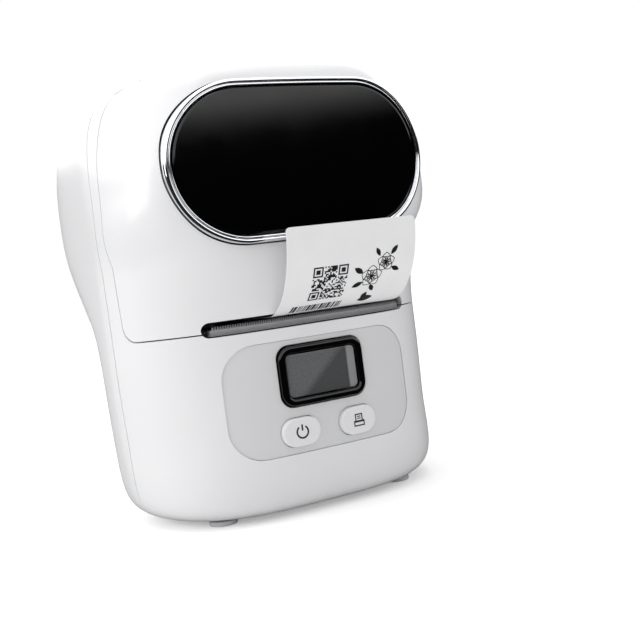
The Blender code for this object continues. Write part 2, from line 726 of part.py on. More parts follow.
def strip_path():
    """Side view of the printed strip: round the platen, out of the slot and up in front."""
    reach = PLATEN_R + 0.15 * MM + STRIP_THICKNESS / 2
    points = []
    for index in range(7):
        angle = math.radians(-15 * index)
        points.append((PLATEN_DEPTH + reach * math.cos(angle), PLATEN_Z + reach * math.sin(angle)))
    level = PLATEN_Z - reach
    points.append((8.0 * MM, level - 0.05 * MM))
    start = 2.5 * MM
    points.append((start, level))
    rise = STRIP_TOP_Z - level
    run = start - STRIP_FRONT
    for index in range(1, 11):
        angle = math.radians(90) * index / 10
        points.append((start - run * math.sin(angle) ** 0.9, level + rise * (1 - math.cos(angle)) ** 0.86))
    return points


def sheet_along(name, path, left, right, thickness):
    """A thin sheet that follows a side-view path between two sides."""
    mesh = bmesh.new()
    rows = [[mesh.verts.new((across, depth, high)) for across in (left, right)] for depth, high in path]
    for first, second in zip(rows, rows[1:]):
        mesh.faces.new((first[0], first[1], second[1], second[0]))
    bmesh.ops.recalc_face_normals(mesh, faces=mesh.faces)
    sheet = object_from(mesh, name)
    solid = sheet.modifiers.new("thickness", "SOLIDIFY")
    solid.thickness = thickness
    solid.offset = 0.0
    return sheet


def build_strip(axis):
    """The printed strip, which lifts away with the lid."""
    strip = sheet_along("label_strip", strip_path(), ROLL_LEFT, ROLL_RIGHT, STRIP_THICKNESS)
    finish(strip, "paper", axis, 60.0)


# ---------------------------------------------------------------- drive

def polar(centre, angle, distance):
    """A depth and height at one direction and distance from another."""
    return (centre[0] + distance * math.cos(angle), centre[1] + distance * math.sin(angle))


def pitch_radius(teeth):
    """Pitch radius of a gear with so many teeth."""
    return GEAR_MODULE * teeth / 2


def gear(name, teeth, centre, tooth_angle, bore):
    """A spur gear about a line along X, with one tooth centred on the given direction."""
    mesh = bmesh.new()
    pitch = 2 * math.pi / teeth
    tip = pitch_radius(teeth) + 0.42 * MM
    root = pitch_radius(teeth) - 0.62 * MM
    outline = []
    for index in range(teeth):
        middle = tooth_angle + index * pitch
        for share, radius in ((-0.29, root), (-0.15, tip), (0.15, tip), (0.29, root)):
            depth, high = polar(centre, middle + share * pitch, radius)
            outline.append(mesh.verts.new((GEAR_X - GEAR_WIDTH / 2, depth, high)))
    face = mesh.faces.new(outline)
    extruded = bmesh.ops.extrude_face_region(mesh, geom=[face])
    for item in extruded["geom"]:
        if isinstance(item, bmesh.types.BMVert):
            item.co.x += GEAR_WIDTH
    bmesh.ops.recalc_face_normals(mesh, faces=mesh.faces)
    wheel = object_from(mesh, name)
    hole = cylinder(name + "_bore", (GEAR_X, centre[0], centre[1]), bore, GEAR_WIDTH + 2 * MM, "X", 16)
    return cut(wheel, hole)


def build_drive(platen_axis, lid_motion):
    """The motor, its pinion, the idler and the platen's gear, in mesh along the lid's line of closing."""
    platen_centre = (PLATEN_DEPTH, PLATEN_Z)
    to_idler = lid_motion
    idler_centre = polar(platen_centre, to_idler, pitch_radius(PLATEN_TEETH + IDLER_TEETH))
    to_pinion = math.radians(-45)
    pinion_centre = polar(idler_centre, to_pinion, pitch_radius(IDLER_TEETH + PINION_TEETH))

    wheel = gear("platen_gear", PLATEN_TEETH, platen_centre, to_idler, SHAFT_R + GAP)
    finish(wheel, "gear_white", platen_axis, 20.0)

    idler_pitch = 2 * math.pi / IDLER_TEETH
    idler_tooth = to_idler + math.pi + idler_pitch / 2
    idler_axis = new_axis("idler_axis", (GEAR_X, *idler_centre), FRAME)
    wheel = gear("idler_gear", IDLER_TEETH, idler_centre, idler_tooth, IDLER_SHAFT_R + GAP)
    finish(wheel, "gear_white", idler_axis, 20.0)

    offset = (idler_tooth - to_pinion) % idler_pitch
    matched = offset * IDLER_TEETH / PINION_TEETH
    pinion_tooth = to_pinion + math.pi - matched + math.pi / PINION_TEETH
    pinion_axis = new_axis("pinion_axis", (GEAR_X, *pinion_centre), FRAME)
    wheel = gear("motor_pinion", PINION_TEETH, pinion_centre, pinion_tooth, MOTOR_SHAFT_R + GAP)
    finish(wheel, "steel", pinion_axis, 20.0)
    middle = (-28.2 * MM, *pinion_centre)
    shaft = cylinder("motor_shaft", middle, MOTOR_SHAFT_R, 4.2 * MM, "X", 16)
    finish(shaft, "steel", pinion_axis)

    low = (-26.9 * MM, 21.0 * MM, 38.4 * MM)
    plate = block("gear_plate", low, (-26.1 * MM, 35.5 * MM, 55.6 * MM), 2 * MM, "X", 3)
    cut(plate, cylinder("motor_shaft_hole", (-26.5 * MM, *pinion_centre), 1.4 * MM, 4 * MM, "X", 16))
    finish(plate, "steel", FRAME)
    shaft = cylinder("idler_shaft", (GEAR_X, *idler_centre), IDLER_SHAFT_R, 3.2 * MM, "X", 16)
    finish(shaft, "steel", FRAME)
    motor = (-25.8 * MM + MOTOR_LENGTH / 2, *pinion_centre)
    finish(cylinder("stepper_motor", motor, MOTOR_R, MOTOR_LENGTH, "X", 28), "aluminium", FRAME)


def build_print_head(axis):
    """The heating head on its heat sink, which a leaf spring pushes towards the platen."""
    low = (-PLATEN_HALF, HEAD_DEPTH, 47.6 * MM)
    high = (PLATEN_HALF, HEAD_DEPTH + HEAD_THICKNESS, 56.0 * MM)
    finish(block("print_head", low, high), "matte_black", axis)
    back = HEAD_DEPTH + HEAD_THICKNESS + GAP
    low = (-PLATEN_HALF, back, 47.6 * MM)
    sink = block("head_heatsink", low, (PLATEN_HALF, back + 1.4 * MM, 56.4 * MM))
    finish(sink, "aluminium", axis)
    low = (-9 * MM, 24.0 * MM, 45 * MM)
    spring = block("head_spring", low, (12 * MM, 24.3 * MM, 56.4 * MM), 2 * MM, "Y", 3)
    finish(spring, "steel", FRAME)
    low = (4 * MM, 21.2 * MM, 43 * MM)
    sensor = block("gap_sensor", low, (9 * MM, 23.2 * MM, 46.6 * MM), 0.3 * MM)
    finish(sensor, "matte_black", FRAME)


# ---------------------------------------------------------------- label bin

def build_bin():
    """The open-fronted bin that the label roll sits in."""
    low = (-BIN_HALF_WIDTH, BIN_FRONT, BIN_FLOOR)
    outside = block("bin_outside", low, (BIN_HALF_WIDTH, 90 * MM, 120 * MM), 4 * MM)
    tub = body_solid("paper_bin", BIN_INSET)
    trim(tub, outside)
    low = (-BIN_HALF_WIDTH + BIN_WALL, BIN_FRONT - 2 * MM, BIN_FLOOR + BIN_WALL)
    inside = block("bin_inside", low, (BIN_HALF_WIDTH - BIN_WALL, 90 * MM, 119 * MM), 2.5 * MM)
    hollow = body_solid("bin_hollow", BIN_INSET + BIN_WALL)
    trim(hollow, inside)
    cut(tub, hollow)
    finish(tub, "inner_grey", FRAME)


def roll_centre(across):
    """A point on the label roll's axis."""
    return (across, ROLL_DEPTH, ROLL_Z)


def build_roll(axis):
    """The roll of labels, wound on its core."""
    middle = (ROLL_LEFT + ROLL_RIGHT) / 2
    length = ROLL_RIGHT - ROLL_LEFT
    roll = ring("label_roll", roll_centre(middle), ROLL_R, CORE_R + GAP, length, "X", 40)
    finish(roll, "paper", axis)
    core = ring("roll_core", roll_centre(middle), CORE_R, CORE_BORE_R, length, "X", 28)
    finish(core, "core_card", axis)


def guide_cheek(name, side, face):
    """A cheek plate with a hub that enters the roll's core, on the guide rail."""
    near = min(face, face + side * CHEEK_THICKNESS)
    far = max(face, face + side * CHEEK_THICKNESS)
    low = (near, RAIL_DEPTH - 4 * MM, BIN_FLOOR + BIN_WALL + 0.5 * MM)
    cheek = block(name, low, (far, 52 * MM, 89 * MM), 6 * MM, "X", 4)
    hub_middle = face - side * 1.5 * MM
    join(cheek, cylinder(name + "_hub", roll_centre(hub_middle), HUB_R, 3.6 * MM, "X", 24))
    shoe_low = (min(face, face + side * 5 * MM), RAIL_DEPTH - 3.4 * MM, RAIL_Z - 2.4 * MM)
    shoe_high = (max(face, face + side * 5 * MM), RAIL_DEPTH + 3.4 * MM, RAIL_Z + 3.0 * MM)
    join(cheek, block(name + "_shoe", shoe_low, shoe_high, 1 * MM, "X", 2))
    on_rail = (face, RAIL_DEPTH, RAIL_Z)
    return cut(cheek, cylinder(name + "_rail_hole", on_rail, RAIL_R + GAP, 30 * MM, "X", 16))


def build_guides(axis):
    """The fixed right cheek, the sliding left cheek and the rail it slides on."""
    finish(guide_cheek("right_guide", 1, ROLL_RIGHT + 0.4 * MM), "inner_grey", FRAME)
    finish(guide_cheek("paper_guide", -1, ROLL_LEFT - 0.4 * MM), "inner_grey", axis)
    half = BIN_HALF_WIDTH - BIN_WALL - GAP
    finish(cylinder("guide_rail", (0, RAIL_DEPTH, RAIL_Z), RAIL_R, 2 * half, "X", 16), "steel", FRAME)


def web_path():
    """Side view of the web that runs from the roll down to the print head."""
    return [
        (ROLL_DEPTH - ROLL_R - 0.4 * MM, ROLL_Z - 1.0 * MM),
        (23.2 * MM, 69.0 * MM),
        (20.4 * MM, 60.0 * MM),
        (19.53 * MM, 55.0 * MM),
        (19.53 * MM, 51.9 * MM),
    ]


def build_web():
    """The unprinted web between the roll and the print head."""
    web = sheet_along("label_web", web_path(), ROLL_LEFT, ROLL_RIGHT, STRIP_THICKNESS)
    finish(web, "paper", FRAME, 60.0)


# ---------------------------------------------------------------- assembly

clear_scene()
PARTS = new_collection("label_printer")
CUTTERS = new_collection("cutters")
FRAME = new_axis("printer_frame", (0.0, FRONT_Y, DATUM_Z))


def main():
    """Build every piece on its body's axis."""
    lid_axis = new_axis("lid_axis", hinge_centre(), FRAME)
    platen_axis = new_axis("platen_axis", (0.0, PLATEN_DEPTH, PLATEN_Z), FRAME)
    head_axis = new_axis("head_axis", (0.0, HEAD_DEPTH, PLATEN_Z), FRAME)
    roll_axis = new_axis("roll_axis", roll_centre(0.0), FRAME)
    guide_axis = new_axis("guide_axis", (ROLL_LEFT, RAIL_DEPTH, RAIL_Z), FRAME)
    build_rear_shell()
    build_front_shell()
    build_control_panel()
    build_exit_slot()
    build_feet()
    build_screws()
    build_electronics()
    build_lid(lid_axis)
    finish(cylinder("hinge_pin", hinge_centre(), HINGE_PIN_R, 54 * MM, "X", 12), "steel", FRAME)
    build_platen_frame(lid_axis)
    build_strip(lid_axis)
    build_platen(platen_axis)
    lid_motion = math.atan2(PLATEN_DEPTH - LID_DEPTH, HINGE_Z - PLATEN_Z)
    build_drive(platen_axis, lid_motion)
    build_print_head(head_axis)
    build_bin()
    build_guides(guide_axis)
    build_roll(roll_axis)
    build_web()
    bpy.context.view_layer.update()


main()
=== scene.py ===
"""Label printer, modelled piece by piece round its working frame, with its finishes and a studio.

Sizes of the case are the printer's own: depths run back from the lower front face, heights up from a datum
a little above the table, and every finished piece is moved from there to its place in the frame.
"""

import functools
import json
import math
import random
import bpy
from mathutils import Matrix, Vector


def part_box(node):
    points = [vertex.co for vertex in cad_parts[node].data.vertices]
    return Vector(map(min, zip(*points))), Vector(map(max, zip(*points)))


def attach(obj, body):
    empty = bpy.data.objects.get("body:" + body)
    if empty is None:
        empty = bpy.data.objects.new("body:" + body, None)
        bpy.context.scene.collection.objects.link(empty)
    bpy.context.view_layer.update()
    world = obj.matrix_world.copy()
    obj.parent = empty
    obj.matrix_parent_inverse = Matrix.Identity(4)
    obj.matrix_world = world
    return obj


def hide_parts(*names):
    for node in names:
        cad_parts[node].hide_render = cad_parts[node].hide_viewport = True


bl_info = {
    "name": "Label Printer",
    "version": (1, 0, 0),
    "blender": (4, 5, 0),
    "location": "View3D > Sidebar > Label Printer",
    "description": "Models a compact label printer with its lid, window, keys, paper and studio",
    "category": "Add Mesh",
}

import bmesh
import bpy
from bpy.props import FloatProperty, FloatVectorProperty, IntProperty, PointerProperty
from mathutils import Matrix, Vector
from mathutils.bvhtree import BVHTree
from mathutils.interpolate import poly_3d_calc

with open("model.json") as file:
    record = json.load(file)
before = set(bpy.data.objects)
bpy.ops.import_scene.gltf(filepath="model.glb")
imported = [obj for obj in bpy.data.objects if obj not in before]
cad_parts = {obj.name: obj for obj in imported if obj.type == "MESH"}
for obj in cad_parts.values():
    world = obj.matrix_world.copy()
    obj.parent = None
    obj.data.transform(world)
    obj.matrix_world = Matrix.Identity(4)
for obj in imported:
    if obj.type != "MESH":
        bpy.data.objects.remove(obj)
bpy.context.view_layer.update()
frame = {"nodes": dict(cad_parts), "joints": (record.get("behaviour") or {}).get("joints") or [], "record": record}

MM = 0.001
GAP = 0.3 * MM
JOINTS = {joint["name"]: joint for joint in frame["joints"]}
HINGE = Vector(JOINTS["lid_hinge"]["pos_m"])
PLATEN = Vector(JOINTS["platen_spin"]["pos_m"])
ROLL = Vector(JOINTS["roll_spin"]["pos_m"])

# Case form
LID_DEPTH = 21.0 * MM
HINGE_Z = 105.9 * MM
FRONT_Y = HINGE.y - LID_DEPTH
DATUM_Z = HINGE.z - HINGE_Z
HALF_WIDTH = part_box("rear_shell")[1].x
TOP_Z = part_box("rear_shell")[1].z - DATUM_Z
BOTTOM_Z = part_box("rear_shell")[0].z - DATUM_Z
WIDEST_DEPTH = 30.0 * MM
LOWER_DEPTH = 52.0 * MM
UPPER_DEPTH = 76.0 * MM
FRONT_BULGE = 4.3 * MM
BASE_TAPER = 1.0 * MM
WALL = 2.0 * MM
TOP_WIDTH_START = 71.0 * MM
TOP_FRONT_START = 75.0 * MM
TOP_REAR_START = 78.0 * MM
BASE_START = 30.0 * MM
TOP_WIDTH_POWER = 5.6
TOP_FRONT_POWER = 7.0
TOP_REAR_POWER = 2.2
BASE_POWER = 8.0
BASE_REAR_POWER = 4.0
QUARTER_STEPS = 40
TOP_RINGS = 24
SIDE_RINGS = 36
BASE_RINGS = 18
BEYOND = 60.0 * MM

# Seams, hinge and slot
PARTING_DEPTH = 26.0 * MM
LID_SEAM_Z = 45.0 * MM
LID_CORNER = 4.0 * MM
BARREL_R = 2.0 * MM
BARREL_HALF = 24.0 * MM
EAR_LENGTH = 3.6 * MM
PIN_R = 0.8 * MM
SWING_HALF = 36.0 * MM
SLOT_Z = 45.7 * MM
SLOT_HALF_HEIGHT = 1.8 * MM
SLOT_HALF_LENGTH = 27.8 * MM
BAR_HALF_LENGTH = 25.8 * MM
BAR_FRONT = 0.35 * MM
BAR_BACK = 2.2 * MM
BAR_HEIGHT = 1.4 * MM

# Window
WINDOW_Z = 82.8 * MM
WINDOW_HALF_LENGTH = 32.2 * MM
WINDOW_HALF_HEIGHT = 16.9 * MM
WINDOW_RADIUS = 190.0 * MM
RING_WIDTH = 1.7 * MM
RING_FRONT = -6.3 * MM
RING_BACK = -2.2 * MM
LENS_FRONT = -5.8 * MM
LENS_BACK = -3.8 * MM

# Control panel
PANEL_HALF_WIDTH = 24.9 * MM
PANEL_LOW = 13.8 * MM
PANEL_HIGH = 40.9 * MM
PANEL_CORNER = 8.0 * MM
DISPLAY_HALF_WIDTH = 11.45 * MM
DISPLAY_LOW = 25.0 * MM
DISPLAY_HIGH = 39.4 * MM
DISPLAY_BORDER = 2.1 * MM
BUTTON_X = 7.8 * MM
BUTTON_Z = 18.9 * MM
BUTTON_HALF_WIDTH = 5.0 * MM
BUTTON_HALF_HEIGHT = 3.4 * MM
INLAY_GAP = 0.08 * MM
KEY_GAP = 0.15 * MM
ICON_PROUD = 0.03 * MM
ICON_ROOT = 0.25 * MM

# Paper
PLATEN_R = 4.3 * MM
STRIP_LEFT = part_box("label_strip")[0].x
STRIP_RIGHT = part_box("label_strip")[1].x
STRIP_TOP_Z = 66.5 * MM
STRIP_FRONT = -12.3 * MM
STRIP_THICKNESS = 0.16 * MM
ROLL_R = 19.0 * MM

# Feet and screws
FOOT_X = 25.0 * MM
FOOT_DEPTHS = (14.0 * MM, 41.0 * MM)
FOOT_R = 3.5 * MM
SCREW_X = 31.0 * MM
SCREW_ZS = (13.0 * MM, 52.0 * MM)

# Shading of the cut shells
NEAR_OUTSIDE = 0.04 * MM
SLIVER_AREA = 0.02 * MM * MM


# ---------------------------------------------------------------- working in edit and object mode

def select_only(piece):
    """Make one piece the selected and active one."""
    for other in bpy.context.selected_objects:
        other.select_set(False)
    piece.select_set(True)
    bpy.context.view_layer.objects.active = piece


def deselect():
    """Leave nothing selected, so that an operator can't act on another piece."""
    for other in bpy.context.selected_objects:
        other.select_set(False)


def named(name):
    """Name the object that a primitive operator has just added, and apply its place."""
    piece = bpy.context.active_object
    piece.name = name
    piece.data.name = name
    select_only(piece)
    bpy.ops.object.transform_apply(location=True, rotation=True, scale=True)
    return piece


def pick(piece, kind, test):
    """Enter edit mode with the faces or edges selected that pass a test."""
    select_only(piece)
    bpy.ops.object.mode_set(mode="EDIT")
    bpy.ops.mesh.select_mode(type=kind)
    bpy.ops.mesh.select_all(action="DESELECT")
    mesh = bmesh.from_edit_mesh(piece.data)
    for item in {"VERT": mesh.verts, "EDGE": mesh.edges, "FACE": mesh.faces}[kind]:
        item.select_set(bool(test(item)))
    mesh.select_flush_mode()
    bmesh.update_edit_mesh(piece.data)


def leave():
    """Go back to object mode."""
    bpy.ops.object.mode_set(mode="OBJECT")


def apply_modifier(piece, modifier):
    """Apply one modifier of a piece."""
    select_only(piece)
    bpy.ops.object.modifier_apply(modifier=modifier.name)


def carve(piece, *cutters, operation="DIFFERENCE"):
    """Cut, join or trim a piece with others, which are used up."""
    for cutter in cutters:
        modifier = piece.modifiers.new("carve", "BOOLEAN")
        modifier.operation = operation
        modifier.solver = "EXACT"
        modifier.object = cutter
        apply_modifier(piece, modifier)
        bpy.data.objects.remove(cutter)
    return piece


def fuse(pieces):
    """Join several pieces into the first as one object."""
    deselect()
    for piece in pieces:
        piece.select_set(True)
    bpy.context.view_layer.objects.active = pieces[0]
    bpy.ops.object.join()
    return pieces[0]


def soften(piece, width, segments=3, angle=40):
    """Round the edges of a piece that are sharper than an angle."""
    modifier = piece.modifiers.new("soften", "BEVEL")
    modifier.width = width
    modifier.segments = segments
    modifier.limit_method = "ANGLE"
    modifier.angle_limit = math.radians(angle)
    modifier.harden_normals = False
    apply_modifier(piece, modifier)
    return piece


def slices(piece, axis, low, high, step):
    """Cut edge loops into a piece at even steps along one axis."""
    normal = Vector((axis == "X", axis == "Y", axis == "Z"))
    count = max(1, round((high - low) / step))
    pick(piece, "FACE", lambda face: True)
    for index in range(1, count):
        where = normal * (low + (high - low) * index / count)
        bpy.ops.mesh.select_all(action="SELECT")
        bpy.ops.mesh.bisect(plane_co=where, plane_no=normal, threshold=1e-7)
    leave()
    return piece


def settle(piece, body, slot, finish, *nodes, smooth=35):
    """Move a piece from the printer's own sizes to its place, and give it its finish and body."""
    select_only(piece)
    bpy.ops.object.transform_apply(location=True, rotation=True, scale=True)
    piece.data.transform(Matrix.Translation((0.0, FRONT_Y, DATUM_Z)))
    piece.data.materials.clear()
    piece.data.materials.append(finish)
    bpy.ops.object.shade_smooth_by_angle(angle=math.radians(smooth))
    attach(piece, body)
    if nodes:
        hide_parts(*nodes)
    return piece


# ---------------------------------------------------------------- starting shapes

def block(name, low, high, radius=0.0, along="Y", segments=12):
    """A box between two corners, whose edges along one axis may be rounded."""
    low, high = Vector(low), Vector(high)
    deselect()
    bpy.ops.mesh.primitive_cube_add(size=1.0, location=(low + high) / 2, scale=high - low)
    piece = named(name)
    if radius > 0:
        index = "XYZ".index(along)
        pick(piece, "EDGE", lambda e: abs((e.verts[0].co - e.verts[1].co)[index]) > 1e-6)
        bpy.ops.mesh.bevel(offset=radius, segments=segments, profile=0.5, affect="EDGES")
        leave()
    return piece


def rod(name, centre, radius, length, along="X", sides=48):
    """A cylinder about a line parallel to one axis."""
    quarter_turn = math.pi / 2
    turn = {"X": (0, quarter_turn, 0), "Y": (quarter_turn, 0, 0), "Z": (0, 0, 0)}[along]
    deselect()
    bpy.ops.mesh.primitive_cylinder_add(
        vertices=sides, radius=radius, depth=length, location=centre, rotation=turn
    )
    return named(name)


def tube(name, centre, outer, inner, length, along="X", sides=64):
    """A hollow cylinder about a line parallel to one axis."""
    piece = rod(name, centre, outer, length, along, sides)
    return carve(piece, rod("bore", centre, inner, length + 2 * MM, along, sides))


# ---------------------------------------------------------------- the case's outer form

def ease(value, low, high):
    """Rise smoothly from 0 at low to 1 at high."""
    share = min(max((value - low) / (high - low), 0.0), 1.0)
    return share * share * (3 - 2 * share)


def rounding(share, power):
    """How much of its full reach a wall keeps, part of the way to where it closes."""
    return max(0.0, 1.0 - min(max(share, 0.0), 1.0) ** power) ** (1 / power)


def ring_heights(inset):
    """Heights of the case's level rings, from its top to its base."""
    top = TOP_Z - inset
    base = BOTTOM_Z + inset
    last_turn = math.radians(84)
    heights = [top]
    for index in range(1, TOP_RINGS + 1):
        turn = last_turn * (index / TOP_RINGS) ** 1.3
        heights.append(TOP_WIDTH_START + (top - TOP_WIDTH_START) * math.cos(turn) ** (1 / 3))
    low = [base]
    for index in range(1, BASE_RINGS + 1):
        turn = last_turn * (index / BASE_RINGS) ** 1.3
        low.append(BASE_START - (BASE_START - base) * math.cos(turn) ** (1 / 4))
    for index in range(1, SIDE_RINGS):
        heights.append(heights[TOP_RINGS] + (low[-1] - heights[TOP_RINGS]) * index / SIDE_RINGS)
    return heights + low[::-1]


def level_shape(height, inset):
    """The case's reaches at one height, with its corner powers and how much its front narrows."""
    top = TOP_Z - inset
    base = BOTTOM_Z + inset
    high = height / MM
    width = (HALF_WIDTH - inset) - BASE_TAPER * (1 - ease(high, 0, 40))
    front = WIDEST_DEPTH - inset + FRONT_BULGE * ease(high, 44, 66)
    rear = LOWER_DEPTH + (UPPER_DEPTH - LOWER_DEPTH) * ease(high, 34, 76) - WIDEST_DEPTH - inset
    low_share = (BASE_START - height) / (BASE_START - base)
    width *= rounding((height - TOP_WIDTH_START) / (top - TOP_WIDTH_START), TOP_WIDTH_POWER)
    front *= rounding((height - TOP_FRONT_START) / (top - TOP_FRONT_START), TOP_FRONT_POWER)
    rear *= rounding((height - TOP_REAR_START) / (top - TOP_REAR_START), TOP_REAR_POWER)
    width *= rounding(low_share, BASE_POWER)
    front *= rounding(low_share, BASE_POWER)
    rear *= rounding(low_share, BASE_REAR_POWER)
    squareness = ease(high, 62, 82)
    return {
        "width": width,
        "front": front,
        "rear": rear,
        "side_power": 3.4 + 5.6 * squareness,
        "front_power": 1.5 + 3.5 * squareness + 0.35 * (1 - ease(high, 0, 22)),
        "rear_power": 3.5 + 2.5 * ease(high, 45, 70),
        "narrowing": 0.14 * squareness + 0.2 * ease(high, 82, 102),
    }


def quarter(shape, is_front, angle):
    """A point of a level ring, a quarter turn running from the front or rear middle to the widest place."""
    if is_front:
        reach = math.cos(angle) ** (2 / shape["front_power"])
        across = math.sin(angle) ** (2 / shape["side_power"])
        across *= 1 - shape["narrowing"] * reach ** 1.3
        return (shape["width"] * across, WIDEST_DEPTH - shape["front"] * reach)
    reach = math.cos(angle) ** (2 / shape["rear_power"])
    across = math.sin(angle) ** (2 / shape["rear_power"])
    return (shape["width"] * across, WIDEST_DEPTH + shape["rear"] * reach)


def spaced_quarter(shape, is_front):
    """Points along a quarter ring, closer together where it bends."""
    fine = 400
    points = [quarter(shape, is_front, math.pi / 2 * index / fine) for index in range(fine)]
    points.append((shape["width"], WIDEST_DEPTH))
    runs = [math.dist(first, second) for first, second in zip(points, points[1:])]
    headings = [math.atan2(b[1] - a[1], b[0] - a[0]) for a, b in zip(points, points[1:])]
    turns = [0.0] + [abs(b - a) for a, b in zip(headings, headings[1:])]
    total_run = sum(runs)
    total_turn = sum(turns)
    travelled = [0.0]
    for run, turn in zip(runs, turns):
        travelled.append(travelled[-1] + 0.6 * run / total_run + 0.4 * turn / total_turn)
    spaced = []
    here = 0
    for index in range(QUARTER_STEPS):
        target = travelled[-1] * index / QUARTER_STEPS
        while travelled[here + 1] < target:
            here += 1
        share = (target - travelled[here]) / (travelled[here + 1] - travelled[here])
        first, second = Vector(points[here]), Vector(points[here + 1])
        spaced.append(tuple(first.lerp(second, share)))
    return spaced


def level_ring(height, inset):
    """The right half of a level ring from front to rear, and its left half back, as one closed loop."""
    shape = level_shape(height, inset)
    if min(shape["width"], shape["front"], shape["rear"]) < 1e-6:
        return [(0.0, WIDEST_DEPTH)] * (4 * QUARTER_STEPS)
    ahead = spaced_quarter(shape, True)
    behind = spaced_quarter(shape, False)
    right = ahead + [(shape["width"], WIDEST_DEPTH)] + behind[:0:-1] + [behind[0]]
    left = [(-across, depth) for across, depth in right[-2:0:-1]]
    return right + left


def case_form(name, inset=0.0):
    """The case's outer form as a closed solid, or the same form a little further in."""
    heights = ring_heights(inset)
    rings = len(heights) - 1
    segments = 4 * QUARTER_STEPS
    loops = [level_ring(height, inset) for height in heights]
    deselect()
    bpy.ops.mesh.primitive_uv_sphere_add(segments=segments, ring_count=rings, radius=1.0)
    piece = named(name)
    for vertex in piece.data.vertices:
        level = round(math.acos(max(-1.0, min(1.0, vertex.co.z))) / math.pi * rings)
        turn = math.atan2(vertex.co.x, -vertex.co.y) % (2 * math.pi)
        across, depth = loops[level][round(turn / (2 * math.pi) * segments) % segments]
        vertex.co = (across, depth, heights[level])
    return piece


def skin(name, outer, inner, *limits):
    """A layer of the case between two depths under its surface, trimmed by other solids."""
    piece = carve(case_form(name, outer), *limits, operation="INTERSECT")
    return carve(piece, case_form("inside", inner))


def front_depth(across, height, inset=0.0):
    """Depth of the lower front's outside at one place."""
    shape = level_shape(height, inset)
    share = min(1.0, abs(across) / shape["width"])
    return WIDEST_DEPTH - shape["front"] * (1 - share ** shape["side_power"]) ** (1 / shape["front_power"])


def rear_depth(across, height):
    """Depth of the rear wall's outside at one place."""
    shape = level_shape(height, 0.0)
    return WIDEST_DEPTH + shape["rear"] * rounding(abs(across) / shape["width"], shape["rear_power"])


def wrap_on_front(piece, proud=0.0):
    """Lay a flat piece, modelled at depth 0, on the curved lower front."""
    for vertex in piece.data.vertices:
        vertex.co.y += front_depth(vertex.co.x, vertex.co.z) - proud
    return piece


# ---------------------------------------------------------------- finishes

def new_finish(name):
    """A new node material, with its tree, shader and a reader of Object coordinates."""
    material = bpy.data.materials.new(name)
    material.use_nodes = True
    tree = material.node_tree
    shader = tree.nodes["Principled BSDF"]
    coordinates = tree.nodes.new("ShaderNodeTexCoord")
    return material, tree, shader, coordinates.outputs["Object"]


def add_node(tree, kind, inputs=None, **settings):
    """Add a node with its settings, and with values or links for its inputs."""
    node = tree.nodes.new(kind)
    for key, value in settings.items():
        setattr(node, key, value)
    for key, value in (inputs or {}).items():
        if isinstance(value, bpy.types.NodeSocket):
            tree.links.new(value, node.inputs[key])
        else:
            node.inputs[key].default_value = value
    return node


def noise(tree, place, scale, detail=3.0, roughness=0.5, stretch=(1, 1, 1)):
    """Noise of so many cells a metre, which may be stretched along an axis."""
    mapping = add_node(tree, "ShaderNodeMapping", {"Vector": place, "Scale": stretch})
    texture = add_node(
        tree, "ShaderNodeTexNoise",
        {"Vector": mapping.outputs[0], "Scale": scale, "Detail": detail, "Roughness": roughness},
    )
    return texture.outputs["Fac"]


def spread(tree, value, low, high, to_low, to_high):
    """Map a value from one range to another."""
    node = add_node(
        tree, "ShaderNodeMapRange",
        {"Value": value, "From Min": low, "From Max": high, "To Min": to_low, "To Max": to_high},
    )
    return node.outputs["Result"]


def blend_colours(tree, share, first, second):
    """Mix two colours by a share."""
    node = add_node(tree, "ShaderNodeMix", data_type="RGBA")
    tree.links.new(share, node.inputs["Factor"])
    for key, colour in ((6, first), (7, second)):
        if isinstance(colour, bpy.types.NodeSocket):
            tree.links.new(colour, node.inputs[key])
        else:
            node.inputs[key].default_value = (*colour[:3], 1.0)
    return node.outputs[2]


def raise_grain(tree, shader, height, strength, distance):
    """Bump the shader's surface by a height."""
    bump = add_node(
        tree, "ShaderNodeBump", {"Height": height, "Strength": strength, "Distance": distance}
    )
    tree.links.new(bump.outputs["Normal"], shader.inputs["Normal"])


def darker(colour, share):
    """A colour made darker by a share."""
    return tuple(channel * (1 - share) for channel in colour[:3])


def moulded(name, colour, roughness, grain=0.10, coat=0.0, tone=0.03):
    """Moulded plastic: a fine eroded grain, a slow drift of tone, and a slightly uneven gloss."""
    material, tree, shader, place = new_finish(name)
    drift = noise(tree, place, 22.0, 2.0)
    tree.links.new(
        blend_colours(tree, spread(tree, drift, 0.1, 0.9, 0, 1), darker(colour, tone), colour),
        shader.inputs["Base Color"],
    )
    uneven = noise(tree, place, 40.0, 1.0)
    tree.links.new(
        spread(tree, uneven, 0.1, 0.9, roughness * 0.94, roughness * 1.06), shader.inputs["Roughness"]
    )
    raise_grain(tree, shader, noise(tree, place, 5200.0, 2.0), grain, 0.02 * MM)
    shader.inputs["Coat Weight"].default_value = coat
    shader.inputs["Coat Roughness"].default_value = 0.12
    return material


